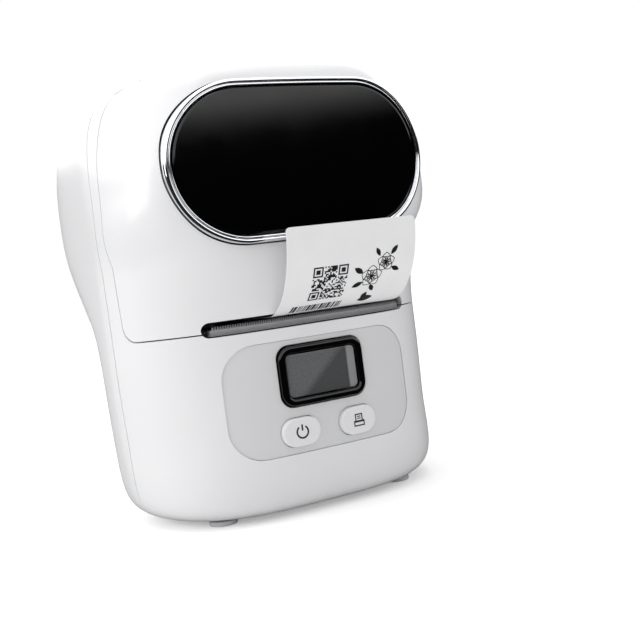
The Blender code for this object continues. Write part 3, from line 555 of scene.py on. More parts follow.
def polished(name, colour, roughness, metallic=0.0, coat=0.0):
    """A polished or plated skin, with hair scratches and a trace of haze."""
    material, tree, shader, place = new_finish(name)
    shader.inputs["Metallic"].default_value = metallic
    haze = noise(tree, place, 90.0, 5.0, 0.6)
    tree.links.new(
        spread(tree, haze, 0.35, 0.75, roughness, roughness * 1.9), shader.inputs["Roughness"]
    )
    hairs = noise(tree, place, 900.0, 3.0, 0.7, (0.06, 1.0, 1.3))
    tree.links.new(
        blend_colours(tree, spread(tree, hairs, 0.62, 0.8, 0, 1), colour, darker(colour, 0.08)),
        shader.inputs["Base Color"],
    )
    raise_grain(tree, shader, hairs, 0.02, 0.01 * MM)
    shader.inputs["Coat Weight"].default_value = coat
    shader.inputs["Coat Roughness"].default_value = 0.03
    return material


def brushed(name, colour, roughness, stretch=(0.03, 1.0, 1.0), metallic=1.0):
    """Brushed metal whose grain runs along one axis."""
    material, tree, shader, place = new_finish(name)
    shader.inputs["Metallic"].default_value = metallic
    grain = noise(tree, place, 3800.0, 4.0, 0.65, stretch)
    tree.links.new(
        blend_colours(tree, spread(tree, grain, 0.3, 0.7, 0, 1), darker(colour, 0.22), colour),
        shader.inputs["Base Color"],
    )
    tree.links.new(
        spread(tree, grain, 0.3, 0.7, roughness * 1.3, roughness * 0.8), shader.inputs["Roughness"]
    )
    raise_grain(tree, shader, grain, 0.12, 0.02 * MM)
    return material


def paper_finish(name, colour, gloss=0.45):
    """Coated paper: fine fibres, a faint mottle and a weak sheen."""
    material, tree, shader, place = new_finish(name)
    fibres = noise(tree, place, 2600.0, 4.0, 0.7, (1.0, 0.35, 0.35))
    mottle = noise(tree, place, 160.0, 3.0)
    tone = blend_colours(tree, spread(tree, mottle, 0.3, 0.7, 0, 1), darker(colour, 0.035), colour)
    tree.links.new(
        blend_colours(tree, spread(tree, fibres, 0.55, 0.8, 0, 0.5), tone, darker(colour, 0.08)),
        shader.inputs["Base Color"],
    )
    tree.links.new(spread(tree, fibres, 0.3, 0.7, gloss, gloss + 0.15), shader.inputs["Roughness"])
    raise_grain(tree, shader, fibres, 0.10, 0.015 * MM)
    return material


def wound_paper(name, colour):
    """The roll of labels: its ends show the turns of paper as fine rings."""
    material, tree, shader, place = new_finish(name)
    centred = add_node(tree, "ShaderNodeMapping", {"Vector": place, "Location": (0, -ROLL.y, -ROLL.z)})
    flat = add_node(
        tree, "ShaderNodeVectorMath", {0: centred.outputs[0], 1: (0, 1, 1)}, operation="MULTIPLY"
    )
    radius = add_node(tree, "ShaderNodeVectorMath", {0: flat.outputs[0]}, operation="LENGTH")
    wobble = noise(tree, place, 60.0, 2.0)
    uneven = add_node(
        tree, "ShaderNodeMath", {0: wobble, 1: 0.25 * MM, 2: radius.outputs["Value"]},
        operation="MULTIPLY_ADD",
    )
    turns = add_node(
        tree, "ShaderNodeMath", {0: uneven.outputs[0], 1: 2 * math.pi / (0.32 * MM)}, operation="MULTIPLY"
    )
    wave = add_node(tree, "ShaderNodeMath", {0: turns.outputs[0]}, operation="SINE")
    tree.links.new(
        blend_colours(tree, spread(tree, wave.outputs[0], -1, 1, 0, 1), darker(colour, 0.14), colour),
        shader.inputs["Base Color"],
    )
    shader.inputs["Roughness"].default_value = 0.6
    raise_grain(tree, shader, wave.outputs[0], 0.15, 0.03 * MM)
    return material


def display_finish(name, colour):
    """The dark display cover: a paler right margin, a painted reflection that lightens its upper left, and a faint
    row of cells.
    """
    material, tree, shader, place = new_finish(name)
    split = add_node(tree, "ShaderNodeSeparateXYZ", {0: place})
    middle_z = (DISPLAY_LOW + DISPLAY_HIGH) / 2 + DATUM_Z
    # Painted reflection: a slope that rises towards the cover's upper left makes its colour paler there, as a
    # glint of the lights would.
    slope = add_node(
        tree, "ShaderNodeMath", {0: split.outputs["Z"], 1: 1.0, 2: -middle_z}, operation="MULTIPLY_ADD"
    )
    lean = add_node(
        tree, "ShaderNodeMath", {0: split.outputs["X"], 1: -0.9, 2: slope.outputs[0]},
        operation="MULTIPLY_ADD",
    )
    sheen = spread(tree, lean.outputs[0], -1.2 * MM, 1.2 * MM, 0.0, 1.0)
    margin = spread(tree, split.outputs["X"], 6.9 * MM, 7.3 * MM, 0.0, 1.0)
    # Colour of the painted reflection, paler than the cover's own.
    pale = tuple(min(1.0, channel * 1.9) for channel in colour[:3])
    face = blend_colours(tree, sheen, colour, pale)
    cells = noise(tree, place, 2400.0, 0.0, 0.5)
    face = blend_colours(tree, spread(tree, cells, 0.4, 0.7, 0, 0.25), face, darker(colour, 0.4))
    tree.links.new(blend_colours(tree, margin, face, (0.30, 0.30, 0.31)), shader.inputs["Base Color"])
    shader.inputs["Roughness"].default_value = 0.16
    shader.inputs["Coat Weight"].default_value = 0.6
    shader.inputs["Coat Roughness"].default_value = 0.04
    return material


def board_finish(name, colour):
    """Solder mask with copper runs showing through as a paler green."""
    material, tree, shader, place = new_finish(name)
    brick = add_node(
        tree, "ShaderNodeTexBrick",
        {"Vector": place, "Scale": 420.0, "Color1": (*colour, 1.0), "Color2": (*darker(colour, 0.2), 1.0),
         "Mortar": (0.05, 0.30, 0.14, 1.0), "Mortar Size": 0.03},
    )
    tree.links.new(brick.outputs["Color"], shader.inputs["Base Color"])
    shader.inputs["Roughness"].default_value = 0.35
    raise_grain(tree, shader, brick.outputs["Fac"], 0.2, 0.03 * MM)
    return material


RECIPES = {
    "case_white": lambda c: moulded("case_white", c, 0.30, 0.06, 0.25, 0.012),
    "panel_white": lambda c: moulded("panel_white", c, 0.36, 0.10, 0.0, 0.015),
    "inner_grey": lambda c: moulded("inner_grey", c, 0.50, 0.30),
    "gloss_black": lambda c: polished("gloss_black", c, 0.045, 0.0, 0.0),
    "matte_black": lambda c: moulded("matte_black", c, 0.52, 0.30),
    "display_grey": lambda c: display_finish("display_grey", c),
    "chrome": lambda c: polished("chrome", c, 0.07, 1.0),
    "steel": lambda c: brushed("steel", c, 0.30),
    "tear_steel": lambda c: brushed("tear_steel", c, 0.42, metallic=0.5),
    "aluminium": lambda c: brushed("aluminium", c, 0.34, (1.0, 0.05, 1.0)),
    "rubber": lambda c: moulded("rubber", c, 0.78, 0.45, 0.0, 0.15),
    "pale_rubber": lambda c: moulded("pale_rubber", c, 0.72, 0.35, 0.0, 0.06),
    "board_green": lambda c: board_finish("board_green", c),
    "gear_white": lambda c: moulded("gear_white", c, 0.42, 0.20),
    "battery_blue": lambda c: moulded("battery_blue", c, 0.38, 0.15, 0.3, 0.10),
    "paper": lambda c: paper_finish("paper", c),
    "core_card": lambda c: paper_finish("core_card", c, 0.7),
    "wound_paper": lambda c: wound_paper("wound_paper", c),
    "ink": lambda c: paper_finish("ink", c, 0.5),
    "icon_grey": lambda c: moulded("icon_grey", c, 0.4, 0.1),
}


def finish_of(context, name):
    """The finish of that name, made from the chosen colours the first time it is asked for."""
    made = bpy.data.materials.get("finish_" + name)
    if made is None:
        colours = context.scene.label_printer_colours
        key = "paper" if name == "wound_paper" else name
        made = RECIPES[name](tuple(getattr(colours, key)))
        made.name = "finish_" + name
    return made


# ---------------------------------------------------------------- settings

def length_setting(name, description, default):
    """A setting that is a length in metres."""
    return FloatProperty(name=name, description=description, default=default, unit="LENGTH", precision=5)


def colour_setting(name, description, default):
    """A setting that is a colour."""
    return FloatVectorProperty(
        name=name, description=description, default=default, subtype="COLOR", size=3, min=0, max=1
    )


class LABELPRINTER_PG_sizes(bpy.types.PropertyGroup):
    """Sizes that may be changed without touching the working frame."""
    tooth_pitch: length_setting("Tooth pitch", "Distance between the tear bar's teeth", 0.56 * MM)
    tooth_height: length_setting("Tooth height", "Height of the tear bar's teeth", 0.85 * MM)
    bezel_proud: length_setting("Display border", "How far the border stands proud", 0.75 * MM)
    button_proud: length_setting("Buttons", "How far the buttons stand proud", 0.55 * MM)
    icon_radius: length_setting("Icon radius", "Half size of the icons on the buttons", 1.45 * MM)
    strip_corner: length_setting("Label corner", "Radius of the label's corners", 1.1 * MM)
    code_side: length_setting("Code block", "Side of the printed block pattern", 9.3 * MM)
    floor_side: length_setting("Floor", "Side of the studio's floor", 6.0)
    code_cells: IntProperty(name="Code cells", description="Cells on a side of the block", default=25)
    code_seed: IntProperty(name="Code seed", description="Seed of the block pattern", default=7)


class LABELPRINTER_PG_colours(bpy.types.PropertyGroup):
    """Colours of the finishes."""
    case_white: colour_setting("Case", "White moulded shells and buttons", (0.87, 0.87, 0.88))
    panel_white: colour_setting("Panel", "Inlay round the display", (0.74, 0.74, 0.75))
    inner_grey: colour_setting("Inside", "Bin, liner and guides", (0.50, 0.51, 0.53))
    gloss_black: colour_setting("Window", "Window and display border", (0.0008, 0.0008, 0.0009))
    matte_black: colour_setting("Matte black", "Print head, throat and switches", (0.018, 0.018, 0.02))
    display_grey: colour_setting("Display", "Display cover", (0.082, 0.083, 0.085))
    chrome: colour_setting("Chrome", "Window's ring", (0.86, 0.87, 0.89))
    steel: colour_setting("Steel", "Tear bar, shafts, frame and screws", (0.55, 0.56, 0.58))
    tear_steel: colour_setting("Tear bar", "Ground steel of the tear bar", (0.40, 0.40, 0.41))
    aluminium: colour_setting("Aluminium", "Motor can and heat sink", (0.70, 0.71, 0.73))
    rubber: colour_setting("Rubber", "Platen's sleeve", (0.03, 0.03, 0.032))
    pale_rubber: colour_setting("Feet", "Rubber feet", (0.60, 0.60, 0.61))
    board_green: colour_setting("Board", "Circuit board", (0.02, 0.16, 0.07))
    gear_white: colour_setting("Gears", "Gears and bushings", (0.78, 0.77, 0.72))
    battery_blue: colour_setting("Battery", "Battery's wrap", (0.05, 0.14, 0.38))
    paper: colour_setting("Paper", "Labels", (0.93, 0.93, 0.935))
    core_card: colour_setting("Core", "Roll's card core", (0.60, 0.55, 0.48))
    ink: colour_setting("Ink", "Printed marks", (0.012, 0.012, 0.014))
    icon_grey: colour_setting("Icons", "Icons on the buttons", (0.03, 0.03, 0.035))


# ---------------------------------------------------------------- case shells

def lid_space(name, grow):
    """The space that the lid takes up, or that much more of it."""
    low = (-BEYOND, -BEYOND, LID_SEAM_Z - grow)
    high = (BEYOND, LID_DEPTH + grow, TOP_Z + BEYOND)
    piece = block(name, low, high)
    pick(piece, "EDGE", lambda edge: all(v.co.y > 0 and v.co.z < TOP_Z for v in edge.verts))
    bpy.ops.mesh.bevel(offset=LID_CORNER, segments=12, profile=0.5, affect="EDGES")
    leave()
    return piece


def slot_space():
    """The exit slot's opening."""
    low = (-SLOT_HALF_LENGTH, -20 * MM, SLOT_Z - SLOT_HALF_HEIGHT)
    high = (SLOT_HALF_LENGTH, 16 * MM, SLOT_Z + SLOT_HALF_HEIGHT)
    return block("slot_space", low, high, SLOT_HALF_HEIGHT - 0.02 * MM, "Y", 10)


def front_outline(name, half_width, low, high, corner, grow=0.0, middle=0.0):
    """A rounded block through the front, for an opening in it."""
    first = (middle - half_width - grow, -20 * MM, low - grow)
    last = (middle + half_width + grow, 16 * MM, high + grow)
    return block(name, first, last, corner + grow, "Y", 14)


def window_outline(name, grow, front, back):
    """A stadium-shaped block for the window, its ring or its opening."""
    low = (-WINDOW_HALF_LENGTH - grow, front, WINDOW_Z - WINDOW_HALF_HEIGHT - grow)
    high = (WINDOW_HALF_LENGTH + grow, back, WINDOW_Z + WINDOW_HALF_HEIGHT + grow)
    return block(name, low, high, WINDOW_HALF_HEIGHT + grow - 0.1 * MM, "Y", 28)


def foot_places():
    """Centres of the four feet, at the height of the table."""
    return [(side * FOOT_X, depth, -DATUM_Z) for depth in FOOT_DEPTHS for side in (-1, 1)]


def screw_places():
    """Places of the four case screws on the rear wall."""
    return [(side * SCREW_X, high) for high in SCREW_ZS for side in (-1, 1)]


def foot_pocket(centre):
    """The pocket that a foot is glued in."""
    return rod("foot_pocket", centre, FOOT_R + GAP, 3.0 * MM, "Z", 48)


@functools.cache
def whole_outside():
    """The uncut case's surface, with its points, their normals and its faces."""
    whole = case_form("whole_case")
    whole.data.transform(Matrix.Translation((0.0, FRONT_Y, DATUM_Z)))
    points = [vertex.co.copy() for vertex in whole.data.vertices]
    normals = [vertex.normal.copy() for vertex in whole.data.vertices]
    faces = [tuple(face.vertices) for face in whole.data.polygons]
    bpy.data.objects.remove(whole)
    return BVHTree.FromPolygons(points, faces), points, normals, faces


def even_shading(piece):
    """Shade a cut shell's outside as the whole case is shaded, so that slivers along a cut don't show."""
    surface, points, normals, faces = whole_outside()
    shading = [corner.vector.copy() for corner in piece.data.corner_normals]
    found = {}
    for face in piece.data.polygons:
        _, outward, _, distance = surface.find_nearest(face.center, 2 * NEAR_OUTSIDE)
        if outward is None or distance > NEAR_OUTSIDE:
            continue
        if face.area > SLIVER_AREA and face.normal.dot(outward) < 0.8:
            continue
        for loop, corner in zip(face.loop_indices, face.vertices):
            if corner not in found:
                place, _, index, _ = surface.find_nearest(piece.data.vertices[corner].co)
                shares = poly_3d_calc([points[point] for point in faces[index]], place)
                normal = Vector()
                for share, point in zip(shares, faces[index]):
                    normal += share * normals[point]
                found[corner] = normal.normalized()
            if found[corner].length > 0.5:
                shading[loop] = found[corner]
    piece.data.normals_split_custom_set(shading)


def settle_shell(piece, body, finish, node):
    """Settle a case shell in place of its plain one."""
    settle(piece, body, "case_white", finish, node, smooth=28)
    even_shading(piece)


class LABELPRINTER_OT_rear_shell(bpy.types.Operator):
    """Add the rear half of the case, with its screw pockets and charging opening"""
    bl_idname = "label_printer.rear_shell"
    bl_label = "Rear shell"

    def execute(self, context):
        low = (-BEYOND, PARTING_DEPTH + GAP, -BEYOND)
        high = (BEYOND, UPPER_DEPTH + BEYOND, TOP_Z + BEYOND)
        shell = skin("rear_case", 0.0, WALL, block("behind", low, high))
        for across, height in screw_places():
            depth = rear_depth(across, height)
            start = PARTING_DEPTH + 8 * MM
            middle = (across, (start + depth + 4 * MM) / 2, height)
            boss = rod("boss", middle, 3.6 * MM, depth + 4 * MM - start, "Y", 32)
            carve(boss, case_form("limit", 0.6 * MM), operation="INTERSECT")
            carve(shell, boss, operation="UNION")
            pocket = (across, depth + 3 * MM, height)
            carve(shell, rod("pocket", pocket, 2.6 * MM, 10.4 * MM, "Y", 40))
            carve(shell, rod("hole", pocket, 1.5 * MM, 80 * MM, "Y", 24))
        carve(shell, *[foot_pocket(centre) for centre in foot_places()[2:]])
        socket = block("socket", (-5 * MM, 40 * MM, 11.8 * MM), (5 * MM, 60 * MM, 16.2 * MM), 2.1 * MM)
        carve(shell, socket)
        settle_shell(shell, "base", finish_of(context, "case_white"), "rear_shell")
        return {"FINISHED"}


class LABELPRINTER_OT_front_shell(bpy.types.Operator):
    """Add the lower front and the arch that runs over the lid, with two hinge ears"""
    bl_idname = "label_printer.front_shell"
    bl_label = "Front shell"

    def execute(self, context):
        high = (BEYOND, PARTING_DEPTH, TOP_Z + BEYOND)
        shell = skin("front_case", 0.0, WALL, block("ahead", (-BEYOND, -BEYOND, -BEYOND), high))
        carve(shell, lid_space("lid_space", GAP), slot_space())
        carve(shell, front_outline(
            "panel_opening", PANEL_HALF_WIDTH, PANEL_LOW, PANEL_HIGH, PANEL_CORNER, INLAY_GAP
        ))
        line = (0.0, LID_DEPTH, HINGE_Z)
        carve(shell, rod("barrel_space", line, BARREL_R + GAP, 76 * MM, "X", 48))
        low = (-SWING_HALF, LID_DEPTH - 1 * MM, HINGE_Z)
        carve(shell, block("swing", low, (SWING_HALF, LID_DEPTH + BARREL_R + GAP, HINGE_Z + 6 * MM)))
        for side in (-1, 1):
            middle = side * (BARREL_HALF + 2 * GAP + EAR_LENGTH / 2)
            ear = rod("ear", (middle, LID_DEPTH, HINGE_Z), BARREL_R, EAR_LENGTH, "X", 40)
            low = (middle - EAR_LENGTH / 2, LID_DEPTH, HINGE_Z - 1 * MM)
            high = (middle + EAR_LENGTH / 2, PARTING_DEPTH - 0.1 * MM, HINGE_Z + 0.8 * MM)
            carve(shell, ear, block("ear_root", low, high), operation="UNION")
        carve(shell, rod("pin_hole", line, PIN_R + GAP, 60 * MM, "X", 24))
        carve(shell, *[foot_pocket(centre) for centre in foot_places()[:2]])
        settle_shell(shell, "base", finish_of(context, "case_white"), "front_shell")
        return {"FINISHED"}


class LABELPRINTER_OT_lid(bpy.types.Operator):
    """Add the lid's shell with its window opening and hinge barrel"""
    bl_idname = "label_printer.lid"
    bl_label = "Lid shell"

    def execute(self, context):
        shell = skin("lid_case", 0.0, WALL, lid_space("lid_limit", 0.0))
        opening = window_outline("window_opening", RING_WIDTH + GAP, -20 * MM, 12 * MM)
        carve(shell, slot_space(), opening)
        for side in (-1, 1):
            middle = side * (BARREL_HALF + 2 * GAP + EAR_LENGTH / 2)
            reach = EAR_LENGTH / 2 + GAP
            low = (middle - reach, LID_DEPTH - BARREL_R - GAP, HINGE_Z - 5 * MM)
            carve(shell, block("notch", low, (middle + reach, LID_DEPTH + 4 * MM, HINGE_Z + 5 * MM)))
        line = (0.0, LID_DEPTH, HINGE_Z)
        carve(shell, rod("barrel", line, BARREL_R, 2 * BARREL_HALF, "X", 40), operation="UNION")
        carve(shell, rod("pin_hole", line, PIN_R + GAP, 60 * MM, "X", 24))
        settle_shell(shell, "lid", finish_of(context, "case_white"), "lid_shell")
        return {"FINISHED"}


# ---------------------------------------------------------------- window

def bend_back(piece):
    """Curve a window piece backwards at its sides."""
    for vertex in piece.data.vertices:
        vertex.co.y += vertex.co.x ** 2 / (2 * WINDOW_RADIUS)
    return piece


def step_face(piece, inward, forward):
    """Inset the selected front face and move it forward or back."""
    bpy.ops.mesh.inset(thickness=inward, depth=0.0, use_even_offset=True)
    bpy.ops.transform.translate(value=(0.0, forward, 0.0))


def stadium_slices(piece, reach=WINDOW_HALF_LENGTH - WINDOW_HALF_HEIGHT):
    """Cut a window piece across, to that far from its middle, so that it can bend."""
    return slices(piece, "X", -reach, reach, 1.5 * MM)


class LABELPRINTER_OT_window(bpy.types.Operator):
    """Add the window's chrome ring, with its rounded band, groove and inner lip, and the black lens"""
    bl_idname = "label_printer.window"
    bl_label = "Window"

    def execute(self, context):
        ring = window_outline("chrome_ring", RING_WIDTH, RING_FRONT + 0.55 * MM, RING_BACK)
        pick(ring, "FACE", lambda face: face.normal.y < -0.9)
        for inward, forward in ((0.06, -0.22), (0.12, -0.18), (0.2, -0.13), (0.32, -0.02),
                                (0.12, 0.1), (0.1, 0.5), (0.14, 0.08), (0.1, -0.3), (0.2, -0.06),
                                (0.16, 0.06), (0.1, 0.25)):
            step_face(ring, inward * MM, forward * MM)
        bpy.ops.mesh.delete(type="ONLY_FACE")
        leave()
        inward = 1.62 * MM
        pick(ring, "FACE", lambda face: face.normal.y > 0.9)
        step_face(ring, inward, 0.0)
        bpy.ops.mesh.delete(type="ONLY_FACE")
        leave()
        pick(ring, "EDGE", lambda edge: edge.is_boundary)
        bpy.ops.mesh.bridge_edge_loops()
        leave()
        stadium_slices(ring)
        settle(bend_back(ring), "lid", "chrome", finish_of(context, "chrome"), "window_ring", smooth=50)

        lens = window_outline("black_lens", -GAP, LENS_FRONT, LENS_BACK)
        pick(lens, "FACE", lambda face: face.normal.y < -0.9)
        step_face(lens, 0.15 * MM, -0.1 * MM)
        step_face(lens, 0.35 * MM, -0.06 * MM)
        leave()
        stadium_slices(lens, WINDOW_HALF_LENGTH)
        slices(lens, "Z", WINDOW_Z - WINDOW_HALF_HEIGHT, WINDOW_Z + WINDOW_HALF_HEIGHT, 3 * MM)
        finish = finish_of(context, "gloss_black")
        settle(bend_back(lens), "lid", "gloss_black", finish, "window_lens", smooth=8)
        return {"FINISHED"}


# ---------------------------------------------------------------- control panel

def fit_to_front(piece, half_width, low, high, middle=0.0):
    """Cut loops across a flat piece and lay it on the lower front."""
    slices(piece, "X", middle - half_width, middle + half_width, 1.4 * MM)
    slices(piece, "Z", low, high, 3 * MM)
    return wrap_on_front(piece)


def flat_block(name, half_width, low, high, corner, front, back, middle=0.0):
    """A flat rounded block between two depths under the lower front."""
    first = (middle - half_width, front, low)
    last = (middle + half_width, back, high)
    return block(name, first, last, corner, "Y", 14)


class LABELPRINTER_OT_panel(bpy.types.Operator):
    """Add the inlaid panel and the display in its thick rounded border"""
    bl_idname = "label_printer.panel"
    bl_label = "Control panel"

    def execute(self, context):
        sizes = context.scene.label_printer_sizes
        panel = flat_block(
            "panel_inlay", PANEL_HALF_WIDTH, PANEL_LOW, PANEL_HIGH, PANEL_CORNER, 0.3 * MM, 1.9 * MM
        )
        carve(panel, front_outline(
            "display_opening", DISPLAY_HALF_WIDTH, DISPLAY_LOW, DISPLAY_HIGH, 3 * MM, GAP
        ))
        for side in (-1, 1):
            low, high = BUTTON_Z - BUTTON_HALF_HEIGHT, BUTTON_Z + BUTTON_HALF_HEIGHT
            corner = BUTTON_HALF_HEIGHT - 0.05 * MM
            carve(panel, front_outline(
                "button_opening", BUTTON_HALF_WIDTH, low, high, corner, KEY_GAP, side * BUTTON_X
            ))
        soften(panel, 0.25 * MM)
        fit_to_front(panel, PANEL_HALF_WIDTH, PANEL_LOW, PANEL_HIGH)
        settle(panel, "base", "panel_white", finish_of(context, "panel_white"), "control_panel")

        border = flat_block(
            "display_border", DISPLAY_HALF_WIDTH, DISPLAY_LOW, DISPLAY_HIGH, 3.4 * MM,
            -sizes.bezel_proud, 2.2 * MM,
        )
        inner = DISPLAY_HALF_WIDTH - DISPLAY_BORDER
        inner_low, inner_high = DISPLAY_LOW + DISPLAY_BORDER, DISPLAY_HIGH - DISPLAY_BORDER
        carve(border, front_outline("glass_opening", inner, inner_low, inner_high, 1.3 * MM, GAP))
        soften(border, 0.7 * MM, 6)
        fit_to_front(border, DISPLAY_HALF_WIDTH, DISPLAY_LOW, DISPLAY_HIGH)
        settle(border, "base", "gloss_black", finish_of(context, "gloss_black"), "display_bezel")

        cover = flat_block(
            "display_cover", inner, inner_low, inner_high, 1.1 * MM, 0.1 * MM, 1.2 * MM
        )
        soften(cover, 0.15 * MM)
        fit_to_front(cover, inner, inner_low, inner_high)
        settle(cover, "base", "display_grey", finish_of(context, "display_grey"), "display_glass")
        return {"FINISHED"}


def icon_bar(half_width, half_height, x, z):
    """A short straight stroke of an icon."""
    low = (x - half_width, -ICON_PROUD, z - half_height)
    return block("stroke", low, (x + half_width, ICON_ROOT, z + half_height))


def icon_arc(radius, stroke, start, turn, x, z):
    """A curved stroke of an icon, spun from a small square."""
    thin = 0.01 * MM
    low = (x + radius - stroke / 2, -ICON_PROUD, z - thin)
    piece = block("arc", low, (x + radius + stroke / 2, ICON_ROOT, z + thin))
    centre = Vector((x, 0.0, z))
    pick(piece, "FACE", lambda face: face.normal.z > 0.9)
    bpy.ops.mesh.spin(
        steps=28, angle=turn, center=centre, axis=(0.0, 1.0, 0.0), use_auto_merge=False
    )
    leave()
    turned = Matrix.Translation(centre) @ Matrix.Rotation(-start, 4, "Y") @ Matrix.Translation(-centre)
    piece.data.transform(turned)
    pick(piece, "FACE", lambda face: True)
    bpy.ops.mesh.remove_doubles(threshold=1e-6)
    bpy.ops.mesh.normals_make_consistent(inside=False)
    leave()
    return piece


def power_strokes(size, x, z):
    """A ring open at its top with a bar in the gap."""
    stroke = 0.30 * size
    return [
        icon_arc(size, stroke, math.radians(125), math.radians(290), x, z),
        icon_bar(stroke / 2, 0.5 * size, x, z + 0.72 * size),
    ]


def label_strokes(size, x, z):
    """A small tray with a sheet that stands out of it."""
    thin = 0.11 * size
    strokes = [icon_bar(thin, 0.62 * size, x + side * 0.62 * size, z + 0.35 * size) for side in (-1, 1)]
    strokes.append(icon_bar(0.62 * size + thin, thin, x, z + 0.95 * size))
    strokes += [icon_bar(0.34 * size, thin * 0.8, x, z + lift * size) for lift in (0.58, 0.26)]
    strokes.append(icon_bar(1.02 * size, 0.17 * size, x, z - 0.24 * size))
    strokes.append(icon_bar(1.02 * size, thin, x, z - 0.95 * size))
    strokes += [icon_bar(thin, 0.45 * size, x + side * 0.93 * size, z - 0.58 * size) for side in (-1, 1)]
    return strokes


class LABELPRINTER_OT_buttons(bpy.types.Operator):
    """Add the two pill-shaped buttons with their raised icons"""
    bl_idname = "label_printer.buttons"
    bl_label = "Buttons"

    def execute(self, context):
        sizes = context.scene.label_printer_sizes
        low, high = BUTTON_Z - BUTTON_HALF_HEIGHT, BUTTON_Z + BUTTON_HALF_HEIGHT
        for side, name, strokes in ((-1, "power", power_strokes), (1, "feed", label_strokes)):
            middle = side * BUTTON_X
            corner = BUTTON_HALF_HEIGHT - 0.05 * MM
            key = flat_block(
                name + "_key", BUTTON_HALF_WIDTH, low, high, corner, -sizes.button_proud, 2.4 * MM, middle
            )
            pick(key, "FACE", lambda face: face.normal.y < -0.9)
            for inward, forward in ((0.08, -0.16), (0.14, -0.12), (0.25, -0.08), (0.5, 0.03), (0.8, 0.08)):
                step_face(key, inward * MM, forward * MM)
            leave()
            stem = rod("stem", (middle, 3.8 * MM, BUTTON_Z), 1.2 * MM, 3.4 * MM, "Y", 24)
            fit_to_front(key, BUTTON_HALF_WIDTH, low, high, middle)
            carve(key, stem, operation="UNION")
            finish = finish_of(context, "case_white")
            settle(key, name + "_button", "case_white", finish, name + "_button", smooth=50)

            icon = fuse(strokes(sizes.icon_radius, middle, BUTTON_Z))
            icon.name = name + "_icon"
            slices(icon, "X", middle - sizes.icon_radius, middle + sizes.icon_radius, 0.5 * MM)
            wrap_on_front(icon, sizes.button_proud + 0.235 * MM)
            settle(icon, name + "_button", "matte_black", finish_of(context, "icon_grey"))
        return {"FINISHED"}


# ---------------------------------------------------------------- tear bar

class LABELPRINTER_OT_tear_bar(bpy.types.Operator):
    """Add the tear bar on the slot's lower lip, with its row of fine teeth"""
    bl_idname = "label_printer.tear_bar"
    bl_label = "Tear bar"

    def execute(self, context):
        sizes = context.scene.label_printer_sizes
        half, front = BAR_HALF_LENGTH, BAR_FRONT
        floor = SLOT_Z - SLOT_HALF_HEIGHT + GAP
        top = floor + BAR_HEIGHT
        bar = block("toothed_bar", (-half, front, floor), (half, BAR_BACK, top))
        soften(bar, 0.06 * MM, 2)
        slices(bar, "X", -half, half, 1.2 * MM)

        count = int(2 * half / sizes.tooth_pitch) - 1
        first = -(count - 1) / 2 * sizes.tooth_pitch
        low = (first - 0.46 * sizes.tooth_pitch, front + 0.01 * MM, top - 0.2 * MM)
        high = (first + 0.46 * sizes.tooth_pitch, front + 0.4 * MM, top + sizes.tooth_height)
        tooth = block("tooth", low, high)
        pick(tooth, "FACE", lambda face: face.normal.z > 0.9)
        bpy.ops.transform.resize(value=(0.08, 1.0, 1.0), center_override=(first, 0.0, 0.0))
        leave()
        row = tooth.modifiers.new("row", "ARRAY")
        row.count = count
        row.use_relative_offset = False
        row.use_constant_offset = True
        row.constant_offset_displace = (sizes.tooth_pitch, 0.0, 0.0)
        apply_modifier(tooth, row)
        fuse([bar, tooth])
        wrap_on_front(bar)
        settle(bar, "base", "steel", finish_of(context, "tear_steel"), "tear_bar", smooth=30)
        return {"FINISHED"}


# ---------------------------------------------------------------- paper

def strip_line():
    """Side view of the strip as close points: round the platen, out of the slot and up in front."""
    centre = (PLATEN.y - FRONT_Y, PLATEN.z - DATUM_Z)
    reach = PLATEN_R + 0.15 * MM + STRIP_THICKNESS / 2
    points = []
    for index in range(31):
        angle = math.radians(-3 * index)
        points.append((centre[0] + reach * math.cos(angle), centre[1] + reach * math.sin(angle)))
    level = centre[1] - reach
    start = 2.5 * MM
    for index in range(1, 21):
        depth = centre[0] + (start - centre[0]) * index / 20
        points.append((depth, level))
    rise = STRIP_TOP_Z - level
    run = start - STRIP_FRONT
    for index in range(1, 61):
        angle = math.radians(90) * index / 60
        points.append((start - run * math.sin(angle) ** 0.9, level + rise * (1 - math.cos(angle)) ** 0.86))
    return points


STRIP_POINTS = strip_line()
STRIP_RUNS = [0.0]
for here, there in zip(STRIP_POINTS, STRIP_POINTS[1:]):
    STRIP_RUNS.append(STRIP_RUNS[-1] + math.dist(here, there))
STRIP_LENGTH = STRIP_RUNS[-1]


def on_strip(across, up, lift):
    """The place of a point of the flat label: up from its lower end, and lifted off its printed side."""
    run = min(max(up, 0.0), STRIP_LENGTH)
    index = next(i for i in range(1, len(STRIP_RUNS)) if STRIP_RUNS[i] >= run - 1e-12)
    first, second = Vector(STRIP_POINTS[index - 1]), Vector(STRIP_POINTS[index])
    share = (run - STRIP_RUNS[index - 1]) / (STRIP_RUNS[index] - STRIP_RUNS[index - 1])
    before = Vector(STRIP_POINTS[max(0, index - 3)])
    after = Vector(STRIP_POINTS[min(len(STRIP_POINTS) - 1, index + 2)])
    along = (after - before).normalized()
    place = first.lerp(second, share) + Vector((along.y, -along.x)) * -lift
    return Vector((across, place[0], place[1]))


def roll_onto_strip(piece, lift=0.0):
    """Lay a flat piece, modelled with its length up Z and its face at Y, along the strip."""
    for vertex in piece.data.vertices:
        vertex.co = on_strip(vertex.co.x, vertex.co.z, lift - vertex.co.y)
    return piece


